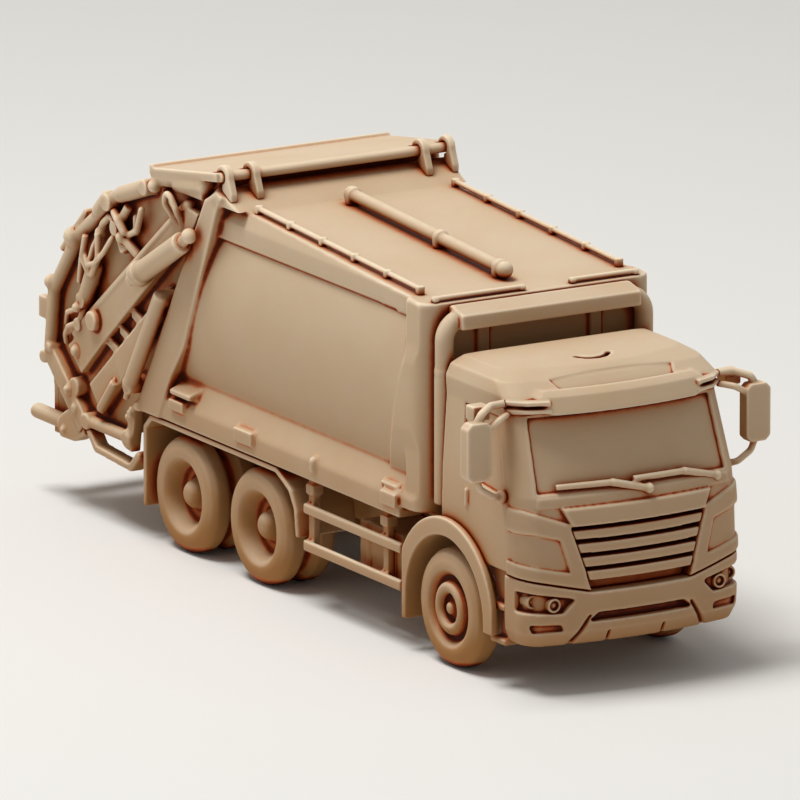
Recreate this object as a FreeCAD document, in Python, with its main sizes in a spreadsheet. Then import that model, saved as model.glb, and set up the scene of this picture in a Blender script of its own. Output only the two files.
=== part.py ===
import FreeCAD, Part
import math
import os
from types import SimpleNamespace

import Sketcher

# A 1:50 model of a three-axle rear-loading refuse lorry. Millimetres.
# +X is forward, +Y is the driver's left, +Z is up, and the origin is on the
# ground under the middle of the model. Right-hand pieces lie at negative Y.

V = FreeCAD.Vector
doc = FreeCAD.newDocument("refuse_lorry_model")
sheet = doc.addObject("Spreadsheet::Sheet", "Sizes")


class Dim:
    """A number together with the spreadsheet formula that gives it."""

    def __init__(self, value, text):
        self.value = value
        self.text = text

    def __add__(self, other):
        other = dim(other)
        return Dim(self.value + other.value, f"({self.text} + {other.text})")

    def __sub__(self, other):
        other = dim(other)
        return Dim(self.value - other.value, f"({self.text} - {other.text})")

    def __mul__(self, other):
        other = dim(other)
        return Dim(self.value * other.value, f"({self.text} * {other.text})")

    def __truediv__(self, other):
        other = dim(other)
        return Dim(self.value / other.value, f"({self.text} / {other.text})")

    def __neg__(self):
        return Dim(-self.value, f"(0 - {self.text})")

    def __radd__(self, other):
        return dim(other) + self

    def __rsub__(self, other):
        return dim(other) - self

    def __rmul__(self, other):
        return dim(other) * self

    def __float__(self):
        return float(self.value)


def dim(number):
    """A Dim as it is, or a plain number as a Dim."""
    if isinstance(number, Dim):
        return number
    return Dim(float(number), repr(float(number)))


# ---------------------------------------------------------------------------
# Driving dimensions: alias, value, what it is
# ---------------------------------------------------------------------------
DRIVING = [
    ("tyre_radius", 10.2, "outer radius of every tyre, and height of every wheel centre"),
    ("front_axle_x", 56.9, "front axle"),
    ("mid_axle_x", -6.6, "first rear axle"),
    ("rear_axle_x", -31.9, "second rear axle"),
    ("wheel_face_y", 22.0, "outer face of every wheel"),
    ("front_tyre_width", 5.6, "single front tyre"),
    ("twin_width", 10.8, "twin rear wheel over both tyres"),
    ("twin_gap", 0.8, "groove between the twin tyres"),
    ("rim_radius", 6.0, "opening of the wheel dish"),
    ("pin_radius", 1.0, "stub that a wheel turns on"),
    ("kingpin_radius", 0.5, "steering pivot"),
    ("running_gap", 0.1, "clearance round a turning pin"),
    ("seam", 0.3, "open line between neighbouring panels"),
    ("rail_y", 8.5, "middle of a chassis rail from the centre"),
    ("rail_width", 1.8, "chassis rail across"),
    ("rail_web", 0.8, "thickness of a rail's web and flanges"),
    ("rail_low_z", 12.8, "underside of the chassis rails"),
    ("rail_high_z", 19.2, "top of the chassis rails"),
    ("rail_rear_x", -43.0, "rear end of the rails"),
    ("rail_front_x", 76.0, "front end of the rails"),
    ("boss_radius", 3.2, "screw boss under the chassis"),
    ("screw_radius", 1.1, "screw hole through a boss"),
    ("kingpin_y", 14.6, "steering pivot from the centre"),
    ("cab_rear_x", 53.8, "back wall of the cab"),
    ("cab_nose_x", 83.6, "foremost point of the cab shell"),
    ("cab_floor_z", 20.4, "underside of the cab shell"),
    ("cab_half", 21.3, "half width of the cab at the waist"),
    ("arch_radius", 12.6, "opening of the front wheel arch"),
    ("arch_lip", 3.2, "width of the flared arch lip"),
    ("arch_proud", 1.4, "how far the arch lip stands out from the cab's side"),
    ("grille_low_z", 17.5, "bottom of the grille"),
    ("grille_high_z", 28.7, "top of the grille"),
    ("grille_low_half", 9.3, "half width of the grille's bottom"),
    ("grille_high_half", 13.0, "half width of the grille's top"),
    ("slat_gap", 0.65, "gap between two grille slats"),
    ("bumper_low_z", 8.4, "lower edge of the bumper"),
    ("bumper_nose_x", 84.2, "foremost point of the bumper"),
    ("bumper_rear_x", 74.2, "where the bumper's sides begin"),
    ("bumper_depth", 5.0, "thickness of the bumper behind its nose"),
    ("body_front_x", 50.0, "front wall of the refuse body"),
    ("body_low_z", 24.0, "underside of the refuse body"),
    ("body_wall", 1.6, "wall of the refuse body"),
    ("barrel_bulge_y", 22.9, "widest point of the barrel side"),
    ("barrel_mid_z", 44.5, "height of the widest point"),
    ("barrel_radius", 48.9, "radius of the barrel side"),
    ("collar_rear_x", 39.6, "rear edge of the body's front collar"),
    ("collar_half", 23.0, "half width of the front collar"),
    ("roof_front_z", 61.1, "roof at the front"),
    ("roof_rear_z", 64.4, "roof at the rear band"),
    ("band_front_x", -10.75, "front edge of the rear cross band"),
    ("roof_beam_y", 21.6, "outer face of the upper side beam"),
    ("roof_beam_z", 58.4, "underside of the upper side beam"),
    ("roof_rail_y", 19.5, "roof rail from the centre"),
    ("roof_rail_radius", 0.5, "roof rail"),
    ("sill_face_y", 23.2, "outer face of the sill"),
    ("sill_low_z", 22.9, "lower edge of the sill"),
    ("sill_bevel_z", 26.4, "where the sill's bevel begins"),
    ("sill_high_z", 31.0, "top of the sill"),
    ("post_outer_y", 23.6, "outer face of the rear posts"),
    ("post_inner_y", 20.2, "inner face of the rear posts"),
    ("hinge_x", -16.7, "tailgate hinge"),
    ("hinge_z", 69.6, "tailgate hinge"),
    ("hinge_radius", 0.9, "tailgate hinge tube"),
    ("lug_radius", 2.1, "hook of a hinge lug round the tube"),
    ("lug_width", 1.4, "hinge lug across"),
    ("gate_gap", 0.8, "gap between the tailgate and the rear posts"),
    ("gate_half", 21.2, "outer face of the tailgate's side plates"),
    ("gate_wall", 1.2, "tailgate side plates"),
    ("tub_inset", 3.6, "loading tub's side in from the side plates' outer face"),
    ("frame_standoff", 1.3, "middle of the frame tubes out from the side plates"),
    ("frame_radius", 1.2, "tailgate's frame tubes"),
    ("cylinder_standoff", 4.3, "middle of a packing cylinder out from the side plates"),
    ("cylinder_radius", 1.9, "packing cylinder"),
    ("lift_x", -66.9, "bin lifter pivot"),
    ("lift_z", 22.1, "bin lifter pivot"),
    ("lift_pin_radius", 0.8, "bin lifter pin"),
    ("arm_inset", 2.3, "middle of a lifter arm in from the side plates' outer face"),
    ("arm_width", 1.4, "lifter arm across"),
    ("comb_x", -80.2, "face of the lifter comb"),
    ("mirror_reach", 6.0, "middle of a mirror out from the cab's side"),
]

for row, (alias, value, meaning) in enumerate(DRIVING, start=1):
    sheet.set(f"A{row}", alias)
    sheet.set(f"B{row}", str(value))
    sheet.set(f"C{row}", meaning)
    sheet.setAlias(f"B{row}", alias)
doc.recompute()
S = SimpleNamespace(**{
    alias: Dim(float(value), f"Sizes.{alias}") for alias, value, meaning in DRIVING
})

# Places that follow from the width of the cab or of the tailgate
S.arch_face_y = S.cab_half + S.arch_proud
S.mirror_y = S.cab_half + S.mirror_reach
S.tub_half = S.gate_half - S.tub_inset
S.frame_y = S.gate_half + S.frame_standoff
S.cylinder_y = S.gate_half + S.cylinder_standoff
S.arm_y = S.gate_half - S.arm_inset


# ---------------------------------------------------------------------------
# Ways of making shapes
# ---------------------------------------------------------------------------
def bind(item, prop, number):
    """Sets a property and ties it to the sheet where the number comes from there."""
    number = dim(number)
    setattr(item, prop, number.value)
    if "Sizes." in number.text:
        item.setExpression(prop, number.text)


def place(item, x, y, z, rotation=None):
    """Puts an object at a point, each coordinate tied to the sheet."""
    numbers = [dim(n) for n in (x, y, z)]
    turn = rotation if rotation is not None else FreeCAD.Rotation()
    item.Placement = FreeCAD.Placement(V(*[n.value for n in numbers]), turn)
    for letter, number in zip("xyz", numbers):
        if "Sizes." in number.text:
            item.setExpression(f".Placement.Base.{letter}", number.text)
    return item


def box(x, y, z):
    """A block between pairs of coordinates."""
    item = doc.addObject("Part::Box", "Block")
    for prop, pair in zip(("Length", "Width", "Height"), (x, y, z)):
        bind(item, prop, dim(pair[1]) - pair[0])
    return place(item, x[0], y[0], z[0])


TURNS = {
    "x": FreeCAD.Rotation(V(0, 1, 0), 90),
    "y": FreeCAD.Rotation(V(1, 0, 0), -90),
    "z": FreeCAD.Rotation(),
}


def rod(axis, start, end, across, radius):
    """A cylinder along X, Y or Z; across gives its two other coordinates."""
    item = doc.addObject("Part::Cylinder", "Rod")
    bind(item, "Radius", radius)
    bind(item, "Height", dim(end) - start)
    spot = list(across)
    spot.insert("xyz".index(axis), start)
    return place(item, *spot, rotation=TURNS[axis])


def ring(axis, start, end, across, outer, inner):
    """A short tube along X, Y or Z."""
    return cut(rod(axis, start, end, across, outer), rod(axis, start, end, across, inner))


def ball(x, y, z, radius):
    item = doc.addObject("Part::Sphere", "Ball")
    bind(item, "Radius", radius)
    return place(item, x, y, z)


def strut(start, end, radius):
    """A round bar between any two points."""
    a = V(*[float(dim(n)) for n in start])
    b = V(*[float(dim(n)) for n in end])
    item = doc.addObject("Part::Cylinder", "Strut")
    bind(item, "Radius", radius)
    item.Height = (b - a).Length
    item.Placement = FreeCAD.Placement(a, FreeCAD.Rotation(V(0, 0, 1), b - a))
    return item


# Sketch planes: the sketch's rotation, and which way its normal points.
PLANES = {
    "XY": (FreeCAD.Rotation(), "z", 1),
    "XZ": (FreeCAD.Rotation(V(1, 0, 0), 90), "y", -1),
    "YZ": (FreeCAD.Rotation(V(0, 1, 0), V(0, 0, 1), V(1, 0, 0)), "x", 1),
}


def sketch(plane, outline, offset):
    """A closed polygon whose corners are tied to the sheet."""
    item = doc.addObject("Sketcher::SketchObject", "Outline")
    corners = [(dim(a), dim(b)) for a, b in outline]
    count = len(corners)
    for i in range(count):
        a = corners[i]
        b = corners[(i + 1) % count]
        line = Part.LineSegment(V(a[0].value, a[1].value, 0), V(b[0].value, b[1].value, 0))
        item.addGeometry(line, False)
    for i in range(count):
        item.addConstraint(Sketcher.Constraint("Coincident", i, 2, (i + 1) % count, 1))
    for i, corner in enumerate(corners):
        for kind, number, axis in zip(("DistanceX", "DistanceY"), corner, (-2, -1)):
            if number.value == 0:
                item.addConstraint(Sketcher.Constraint("PointOnObject", i, 1, axis))
                continue
            rule = Sketcher.Constraint(kind, -1, 1, i, 1, number.value)
            index = item.addConstraint(rule)
            if "Sizes." in number.text:
                item.setExpression(f"Constraints[{index}]", number.text)
    rotation, letter, way = PLANES[plane]
    spot = {"x": 0, "y": 0, "z": 0}
    spot[letter] = offset
    return place(item, spot["x"], spot["y"], spot["z"], rotation)


def prism(plane, outline, start, end):
    """A polygon in a plane, drawn out from start to end along its normal."""
    way = PLANES[plane][2]
    base = sketch(plane, outline, start if way > 0 else end)
    item = doc.addObject("Part::Extrusion", "Prism")
    item.Base = base
    item.DirMode = "Normal"
    item.Solid = True
    bind(item, "LengthFwd", dim(end) - start)
    return item


def flat_bar(start, end, widths, outer_y, inner_y):
    """A flat bar on the right-hand flank between two points (x, z), tapering."""
    a = V(float(dim(start[0])), 0, float(dim(start[1])))
    b = V(float(dim(end[0])), 0, float(dim(end[1])))
    along = (b - a).normalize()
    side = V(-along.z, 0, along.x)
    corners = [
        a + side * (widths[0] / 2), b + side * (widths[1] / 2),
        b - side * (widths[1] / 2), a - side * (widths[0] / 2),
    ]
    return prism("XZ", [(p.x, p.z) for p in corners], outer_y, inner_y)


def turned(outline, x, y, z):
    """A polygon of (radius, height along Y) turned about an axis along Y."""
    base = sketch("XY", outline, 0)
    item = doc.addObject("Part::Revolution", "Turned")
    item.Source = base
    item.Axis = V(0, 1, 0)
    item.Base = V(0, 0, 0)
    item.Angle = 360
    item.Solid = True
    return place(item, x, y, z)


def mirrored(source):
    """The same piece on the left-hand side."""
    item = doc.addObject("Part::Mirroring", "Left")
    item.Source = source
    item.Normal = V(0, 1, 0)
    return item


def fused(*pieces):
    if len(pieces) == 1:
        return pieces[0]
    item = doc.addObject("Part::MultiFuse", "Joined")
    item.Shapes = list(pieces)
    item.Refine = True
    return item


def chained(first, *others):
    """Pieces joined one after another, for round ones that cross at many angles."""
    for other in others:
        item = doc.addObject("Part::Fuse", "Joined")
        item.Base = first
        item.Tool = other
        first = item
    return first


def cut(base, *tools):
    """A shape with one tool after another taken away."""
    for tool in tools:
        item = doc.addObject("Part::Cut", "Cut")
        item.Base = base
        item.Tool = tool
        item.Refine = True
        base = item
    return base


def common(*pieces):
    item = doc.addObject("Part::MultiCommon", "Shared")
    item.Shapes = list(pieces)
    item.Refine = True
    return item


def feature(shape):
    item = doc.addObject("Part::Feature", "Form")
    item.Shape = shape
    return item


def bent_rod(points, radius, bend):
    """A round rod through points, with an arc of the bend radius at each corner."""
    spots = [V(*[float(dim(n)) for n in point]) for point in points]
    edges = []
    last = spots[0]
    for before, here, after in zip(spots, spots[1:], spots[2:]):
        back = (before - here).normalize()
        ahead = (after - here).normalize()
        half = (math.pi - back.getAngle(ahead)) / 2
        reach = bend * math.tan(half)
        first = here + back * reach
        second = here + ahead * reach
        middle = (back + ahead).normalize()
        depth = bend / math.cos(half) - bend
        edges.append(Part.LineSegment(last, first).toShape())
        edges.append(Part.Arc(first, here + middle * depth, second).toShape())
        last = second
    edges.append(Part.LineSegment(last, spots[-1]).toShape())
    path = Part.Wire(edges)
    circle = Part.Circle(spots[0], spots[1] - spots[0], float(dim(radius)))
    loop = Part.Wire([circle.toShape()])
    return feature(path.makePipeShell([loop], True, False))


nodes = {}


def keep(label, item):
    """Names a finished sub-part."""
    item.Label = label
    nodes[label] = item
    return item


def pair(stem, item):
    """Names a right-hand sub-part and adds its left-hand twin."""
    keep(stem + "_right", item)
    keep(stem + "_left", mirrored(item))


def both(item):
    """A right-hand shape and its mirror image as two shapes."""
    return item, mirrored(item)


def on_line(z, low, high):
    """x on the straight line through two points (x, z), at height z."""
    return low[0] + (high[0] - low[0]) * (dim(z) - low[1]) / (dim(high[1]) - low[1])


FAR = 100.0    # beyond the model on any side, for cutting tools


# ---------------------------------------------------------------------------
# Chassis: two channel rails tied by crossmembers
# ---------------------------------------------------------------------------
rail_inner = S.rail_y - S.rail_width / 2
rail_outer = S.rail_y + S.rail_width / 2
web_inner = rail_outer - S.rail_web
flange_low = S.rail_low_z + S.rail_web
flange_high = S.rail_high_z - S.rail_web
rail = prism("YZ", [
    (-rail_outer, S.rail_low_z), (-rail_inner, S.rail_low_z), (-rail_inner, flange_low),
    (-web_inner, flange_low), (-web_inner, flange_high), (-rail_inner, flange_high),
    (-rail_inner, S.rail_high_z), (-rail_outer, S.rail_high_z),
], S.rail_rear_x, S.rail_front_x)
cross_half = 1.0
cross_at = [
    S.rail_rear_x + cross_half, (S.mid_axle_x + S.rear_axle_x) / 2, S.mid_axle_x + 12,
    S.front_axle_x - 26, S.front_axle_x - 6, S.rail_front_x - cross_half,
]
crosses = [
    box((x - cross_half, x + cross_half), (-web_inner, web_inner), (flange_low, flange_high))
    for x in cross_at
]
# Two bosses on the middle crossmembers take the screws of a display stand.
screw_at = [cross_at[2], cross_at[3]]
boss_low = S.rail_low_z + 1
bosses = [rod("z", boss_low, boss_low + 3.6, (x, 0), S.boss_radius) for x in screw_at]
holes = [rod("z", S.rail_low_z, S.rail_high_z, (x, 0), S.screw_radius) for x in screw_at]
keep("chassis_frame", cut(fused(*both(rail), *crosses, *bosses), *holes))

# Bearers and two cross ties between the rails and the body floor
bearer_rear_x = S.rear_axle_x - 2
bearer = box((bearer_rear_x, S.body_front_x - 2), (-rail_outer, -rail_inner),
             (S.rail_high_z, S.body_low_z))
ties = [
    box((x, x + 2), (-rail_inner, rail_inner), (S.rail_high_z + 1, S.body_low_z))
    for x in (bearer_rear_x, S.body_front_x - 4)
]
keep("subframe", fused(*both(bearer), *ties))


# ---------------------------------------------------------------------------
# Axles: a tube with a stub pin at each end for the twin wheels
# ---------------------------------------------------------------------------
axle_z = S.tyre_radius
stub_end_y = S.wheel_face_y - 3.2
twin_inner_y = S.wheel_face_y - S.twin_width
tube_end_y = twin_inner_y - 2 * S.seam
axle_block = 1.6
for name, x in (("mid_axle", S.mid_axle_x), ("rear_axle", S.rear_axle_x)):
    hanger = box((x - axle_block, x + axle_block), (-rail_outer, -rail_inner),
                 (axle_z, S.rail_low_z))
    keep(name, fused(
        rod("y", -tube_end_y, tube_end_y, (x, axle_z), 1.7),
        rod("y", -stub_end_y, stub_end_y, (x, axle_z), S.pin_radius),
        ball(x, 0, axle_z, 3.2),
        *both(hanger),
    ))

eye_radius = 1.3
knuckle_half = 1.1
fork_low = axle_z - 2.6
fork_high = axle_z + 2.6
fork_half = 1.1
fork_inner_y = S.kingpin_y - 3.2
gap_low = axle_z - knuckle_half - S.running_gap
gap_high = axle_z + knuckle_half + S.running_gap
fork_x = (S.front_axle_x - fork_half, S.front_axle_x + fork_half)
pivot = (S.front_axle_x, -S.kingpin_y)
fork = fused(
    rod("z", fork_low, gap_low, pivot, eye_radius),
    rod("z", gap_high, fork_high, pivot, eye_radius),
    box(fork_x, (-S.kingpin_y, -fork_inner_y), (gap_high, fork_high)),
    box(fork_x, (-S.kingpin_y, -fork_inner_y), (fork_low, gap_low)),
    box(fork_x, (-fork_inner_y - 1.4, -fork_inner_y), (fork_low, fork_high)),
    rod("z", fork_low, fork_high, pivot, S.kingpin_radius),
    box((S.front_axle_x - axle_block, S.front_axle_x + axle_block), (-rail_outer, -rail_inner),
        (axle_z, S.rail_low_z)),
)
keep("front_axle", fused(
    box(fork_x, (-fork_inner_y, fork_inner_y), (axle_z - 1.2, axle_z + 1.4)),
    *both(fork),
))

pair("knuckle", cut(
    fused(
        rod("z", axle_z - knuckle_half, axle_z + knuckle_half, pivot, eye_radius),
        rod("y", -stub_end_y, -S.kingpin_y - 0.8, (S.front_axle_x, axle_z), S.pin_radius),
    ),
    rod("z", fork_low, fork_high, pivot, S.kingpin_radius + S.running_gap),
))


# ---------------------------------------------------------------------------
# Wheels: tyre and dish turned as one, with a blind bore on the inner side
# ---------------------------------------------------------------------------
bore = S.pin_radius + S.running_gap
bore_floor = S.wheel_face_y - stub_end_y - S.running_gap - 0.5


def tyre(width):
    """Tyre outline from the bore's inner edge round to the lip of the dish."""
    return [
        (bore, 0), (S.tyre_radius - 2.2, 0), (S.tyre_radius - 0.8, 0.5), (S.tyre_radius, 1.5),
    ], [
        (S.tyre_radius, width - 1.5), (S.tyre_radius - 0.8, width - 0.5),
        (S.tyre_radius - 2.2, width), (S.rim_radius + 0.7, width - 0.1),
        (S.rim_radius, width - 0.8),
    ]


def outward(outline, width):
    """Turns an outline of (radius, height from the inner face) to face outwards at -Y."""
    return [(radius, width - height) for radius, height in outline]


single = S.front_tyre_width
inside, outside = tyre(single)
hub_ring = S.rim_radius - 1.5
front_outline = inside + outside + [
    (S.rim_radius - 0.5, single - 1.7), (hub_ring + 0.2, single - 1.5),
    (hub_ring, single - 0.4), (hub_ring - 0.6, single), (hub_ring - 1.3, single),
    (hub_ring - 1.9, single - 0.5), (hub_ring - 2.0, single - 1.6), (1.3, single - 1.5),
    (1.1, single - 0.5), (0.6, single - 0.2), (0, single - 0.2),
    (0, single - bore_floor), (bore, single - bore_floor),
]
pair("front_wheel",
     turned(outward(front_outline, single), S.front_axle_x, -S.wheel_face_y, axle_z))

twin = S.twin_width
half_tyre = (twin - S.twin_gap) / 2
inside, outside = tyre(twin)
groove_radius = S.tyre_radius - 1.6
twin_outline = inside + [
    (S.tyre_radius, half_tyre - 1.2), (groove_radius, half_tyre),
    (groove_radius, half_tyre + S.twin_gap), (S.tyre_radius, half_tyre + S.twin_gap + 1.2),
] + outside + [
    (S.rim_radius - 0.6, twin - 2.0), (S.rim_radius - 1.2, twin - 3.6), (2.9, twin - 3.9),
    (2.3, twin - 1.9), (1.6, twin - 1.2), (0.8, twin - 0.9), (0, twin - 0.9),
    (0, twin - bore_floor), (bore, twin - bore_floor),
]
for stem, x in (("mid_wheel", S.mid_axle_x), ("rear_wheel", S.rear_axle_x)):
    pair(stem, turned(outward(twin_outline, twin), x, -S.wheel_face_y, axle_z))


# ---------------------------------------------------------------------------
# Cab: lofted through plan sections; its skins at other offsets give the panels
# ---------------------------------------------------------------------------
# height, half width less than the waist's, then distances back from the nose of
# the side's end, the corner and the section's own nose, the corner's half width
# less than the waist's, and the rear wall's distance from the cab's back
CAB_SECTIONS = [
    (15.5, 0.0, 6.6, 2.4, 0.2, 2.5, 0.0),
    (20.4, 0.0, 6.6, 2.4, 0.0, 2.5, 0.0),
    (29.0, 0.0, 7.1, 2.8, 0.6, 2.5, 0.0),
    (34.0, 0.1, 8.1, 3.4, 1.6, 2.3, 0.0),
    (46.7, 0.9, 12.0, 8.0, 6.2, 3.2, 0.0),
    (50.0, 0.7, 12.0, 8.3, 6.0, 3.9, 0.0),
    (52.0, 1.5, 15.1, 11.1, 9.0, 5.8, 0.3),
    (53.3, 3.5, 19.1, 14.6, 12.2, 8.3, 1.2),
    (54.0, 6.8, 23.1, 20.6, 18.6, 11.3, 3.4),
]


def plan_section(z, half, side_x, corner_x, corner_half, nose_x, rear_x):
    """A plan section: straight back and sides, rounded corners, crowned nose."""
    lean = 0.3
    side = V(side_x, -half, z)
    corner = V(corner_x, -corner_half, z)
    middle = V(side_x + (corner_x - side_x) * (1 - lean), -half + (half - corner_half) * lean, z)
    right = [V(rear_x, -half, z), side, middle, corner]
    left = [V(p.x, -p.y, z) for p in right]
    return Part.Wire([
        Part.LineSegment(right[0], right[1]).toShape(),
        Part.Arc(right[1], right[2], right[3]).toShape(),
        Part.Arc(right[3], V(nose_x, 0, z), left[3]).toShape(),
        Part.Arc(left[3], left[2], left[1]).toShape(),
        Part.LineSegment(left[1], left[0]).toShape(),
        Part.LineSegment(left[0], right[0]).toShape(),
    ])


def cab_skin(offset):
    """The cab's outside moved outwards by an offset, sides and front."""
    nose = float(S.cab_nose_x)
    half = float(S.cab_half)
    spread = 0.7 * offset
    wires = [
        plan_section(z, half - narrow + offset, nose - side, nose - corner + spread,
                     half - corner_in + spread, nose - nose_in + offset,
                     float(S.cab_rear_x) + rear_in)
        for z, narrow, side, corner, nose_in, corner_in, rear_in in CAB_SECTIONS
    ]
    return feature(Part.makeLoft(wires, True, True))


def slab(low, high):
    """All of the space between two heights."""
    return box((-FAR, FAR), (-FAR, FAR), (low, high))


outer_skin = cab_skin(0)
proud_skin = cab_skin(0.5)
deep_skin = cab_skin(-0.8)
cab_shell = common(outer_skin, slab(S.cab_floor_z, FAR))

door_window = common(
    prism("XZ", [(60.0, 34.4), (60.0, 46.4), (70.8, 46.4), (74.0, 33.0)], -FAR, 0),
    prism("YZ", [(-FAR, 32.0), (-S.cab_half + 0.6, 32.0), (-S.cab_half + 1.4, 46.7),
                 (-FAR, 46.7)], 0, FAR),
)
windscreen = cut(
    prism("YZ", [(-18.3, 34.4), (18.3, 34.4), (17.7, 46.6), (-17.7, 46.6)],
          S.cab_nose_x - 14, FAR),
    deep_skin,
)
recess_area = prism("XY", [(77.2, -10.4), (77.2, 10.4), (73.0, 12.1), (73.0, -12.1)],
                    48.6, FAR)
smile = common(
    ring("z", 52.6, FAR, (65.0, 0), 4.3, 3.5),
    box((67.0, FAR), (-FAR, FAR), (52.0, FAR)),
)
grille_half_at = [
    (-S.grille_high_half, S.grille_high_z), (S.grille_high_half, S.grille_high_z),
    (S.grille_low_half, S.grille_low_z), (-S.grille_low_half, S.grille_low_z),
]
grille_back_x = S.cab_nose_x - 4
grille_hole = prism("YZ", grille_half_at, grille_back_x, FAR)
arch_cut = rod("y", -FAR, -11.0, (S.front_axle_x, axle_z), S.arch_radius)
handle = box((61.9, 62.7), (-S.cab_half - 0.5, -S.cab_half + 1), (29.0, 32.2))
keep("cab", cut(
    fused(
        cut(cab_shell, recess_area), common(deep_skin, recess_area), *both(handle),
    ),
    *both(arch_cut), *both(door_window), windscreen, smile, grille_hole,
))

# Sun visor: a lofted brow that stands proud of the roof's front edge
VISOR_SECTIONS = [
    (47.1, 14.5, 7.1, 4.9, 13.6, 3.6),
    (50.1, 16.6, 9.2, 6.9, 15.6, 5.2),
    (50.9, 15.4, 10.4, 8.1, 14.4, 6.6),
]
visor_loft = feature(Part.makeLoft([
    plan_section(z, half, float(S.cab_nose_x) - side, float(S.cab_nose_x) - corner, corner_half,
                 float(S.cab_nose_x) - nose_in, float(S.cab_nose_x) - 12)
    for z, half, side, corner, corner_half, nose_in in VISOR_SECTIONS
], True, True))
brow = [
    prism("XY", [
        (S.cab_nose_x - 13.0, -S.cab_half + 0.9), (S.cab_nose_x - 9.6, -S.cab_half + 0.3),
        (S.cab_nose_x - 6.9, -S.cab_half + 3.0), (S.cab_nose_x - 5.4, -14.4),
        (S.cab_nose_x - 9.0, -14.4),
    ], low, low + 0.9)
    for low in (47.4, 48.8)
]
brow_pieces = []
for piece in brow:
    brow_pieces.extend(both(piece))
sun_visor = keep("sun_visor", cut(fused(visor_loft, *brow_pieces), outer_skin))

# Bonnet lip and cowl: bands of the proud skin across the front
lip_low = S.grille_high_z + 0.1
lip_high = lip_low + 3.1
front_zone = S.cab_nose_x - 7
lip = common(cab_skin(0.9), prism("YZ", [
    (-14.6, lip_high), (-12.9, lip_low), (12.9, lip_low), (14.6, lip_high),
], front_zone, FAR))
cowl = common(cab_skin(0.3), prism("YZ", [
    (-18.9, lip_high + S.seam), (18.9, lip_high + S.seam), (18.6, 33.9), (-18.6, 33.9),
], front_zone, FAR))
bonnet_lip = keep("bonnet_lip", cut(fused(lip, cowl), outer_skin))

# Corner panels wrap from beside the grille to the doors
panel_zone = (S.cab_nose_x - 8.6, FAR)
bumper_tip = (S.grille_low_half + 0.3, S.grille_low_z)
bumper_corner = (S.cab_half + 3, S.cab_floor_z + 0.5)
panel_area = prism("YZ", [
    (-bumper_tip[0], bumper_tip[1] + 0.1), (-bumper_corner[0], bumper_corner[1] + 0.1),
    (-bumper_corner[0], lip_high), (-20.8, lip_high), (-S.grille_high_half - S.seam, 29.2),
], *panel_zone)
panel_pocket = cut(
    prism("YZ", [(-22.3, 22.9), (-FAR, 22.9), (-FAR, 28.4), (-19.7, 28.0), (-15.0, 26.7),
                 (-13.3, 20.9), (-16.0, 21.4)], *panel_zone),
    outer_skin,
)
pair("corner_panel", cut(
    common(proud_skin, panel_area),
    common(outer_skin, slab(S.cab_floor_z, FAR)), cab_skin(-2.5), panel_pocket,
    box((0, S.bumper_rear_x + 1.2), (-FAR, FAR), (0, FAR)),
))

# Grille: a back plate in the opening and four slats that lean forward
slat_pitch = (S.grille_high_z - S.grille_low_z - S.slat_gap) / 4.5
back_plate = common(prism("YZ", grille_half_at, grille_back_x, FAR), cab_skin(-1.8))
slats = []
for i in range(4):
    top = S.grille_high_z - S.slat_gap - slat_pitch * i
    low = top - slat_pitch + S.slat_gap
    slats.append(prism("XZ", [
        (grille_back_x, low + 0.5), (S.cab_nose_x - 0.5, low), (FAR, low),
        (FAR, low + 0.8), (S.cab_nose_x - 1.4, top), (grille_back_x, top),
    ], -S.grille_high_half, S.grille_high_half))
slat_zone = common(cab_skin(0.2), prism("YZ", grille_half_at, grille_back_x, FAR))
keep("grille", fused(back_plate, common(slat_zone, fused(*slats))))


# ---------------------------------------------------------------------------
# Front bumper with lamp pockets, air intake and skid panel
# ---------------------------------------------------------------------------
# height, half width, then distances back from the nose of the side's end, the
# corner and the section's own nose, and the corner's half width
BUMPER_SECTIONS = [
    (0.0, 20.3, 7.2, 3.4, 1.4, 17.8),
    (2.4, 21.3, 6.8, 2.6, 0.1, 18.7),
    (5.6, 21.4, 6.8, 2.5, 0.0, 18.8),
    (12.6, 21.4, 6.8, 2.6, 0.2, 18.8),
]


def bumper_skin(offset):
    """The bumper's outside moved outwards by an offset."""
    nose = float(S.bumper_nose_x)
    spread = 0.7 * offset
    return feature(Part.makeLoft([
        plan_section(float(S.bumper_low_z) + z, half + offset, nose - side,
                     nose - corner + spread, corner_half + spread, nose - nose_in + offset,
                     float(S.bumper_rear_x))
        for z, half, side, corner, nose_in, corner_half in BUMPER_SECTIONS
    ], True, True))


bumper_area = prism("YZ", [
    (-bumper_corner[0], bumper_corner[1] - 0.1), (-bumper_tip[0], bumper_tip[1] - 0.1),
    (bumper_tip[0], bumper_tip[1] - 0.1), (bumper_corner[0], bumper_corner[1] - 0.1),
    (bumper_corner[0], 0), (-bumper_corner[0], 0),
], S.bumper_rear_x, FAR)
bumper_zone = S.bumper_nose_x - 12
lamp_area = prism("YZ", [
    (-FAR, 18.3), (-20.6, 17.9), (-12.4, 16.4), (-14.7, 14.1), (-21.0, 14.5), (-FAR, 14.9),
], S.bumper_nose_x - 6.5, FAR)
lamp_pocket = cut(lamp_area, bumper_skin(-1.3))
fog_slot = prism("YZ", [(-20.2, 12.4), (-14.9, 12.2), (-14.5, 11.0), (-19.8, 10.9)],
                 bumper_zone, FAR)
intake = prism("YZ", [(-8.3, 13.8), (8.3, 13.8), (10.3, 12.3), (-10.3, 12.3)], bumper_zone, FAR)
skid_line = prism("YZ", [(-9.3, 13.7), (-10.1, 13.5), (-13.9, 8.0), (-12.9, 8.0)],
                  bumper_zone, FAR)
notches = [box((bumper_zone, FAR), (y - 0.25, y + 0.25), (8.0, 10.6)) for y in (-6.2, 4.4)]
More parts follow.
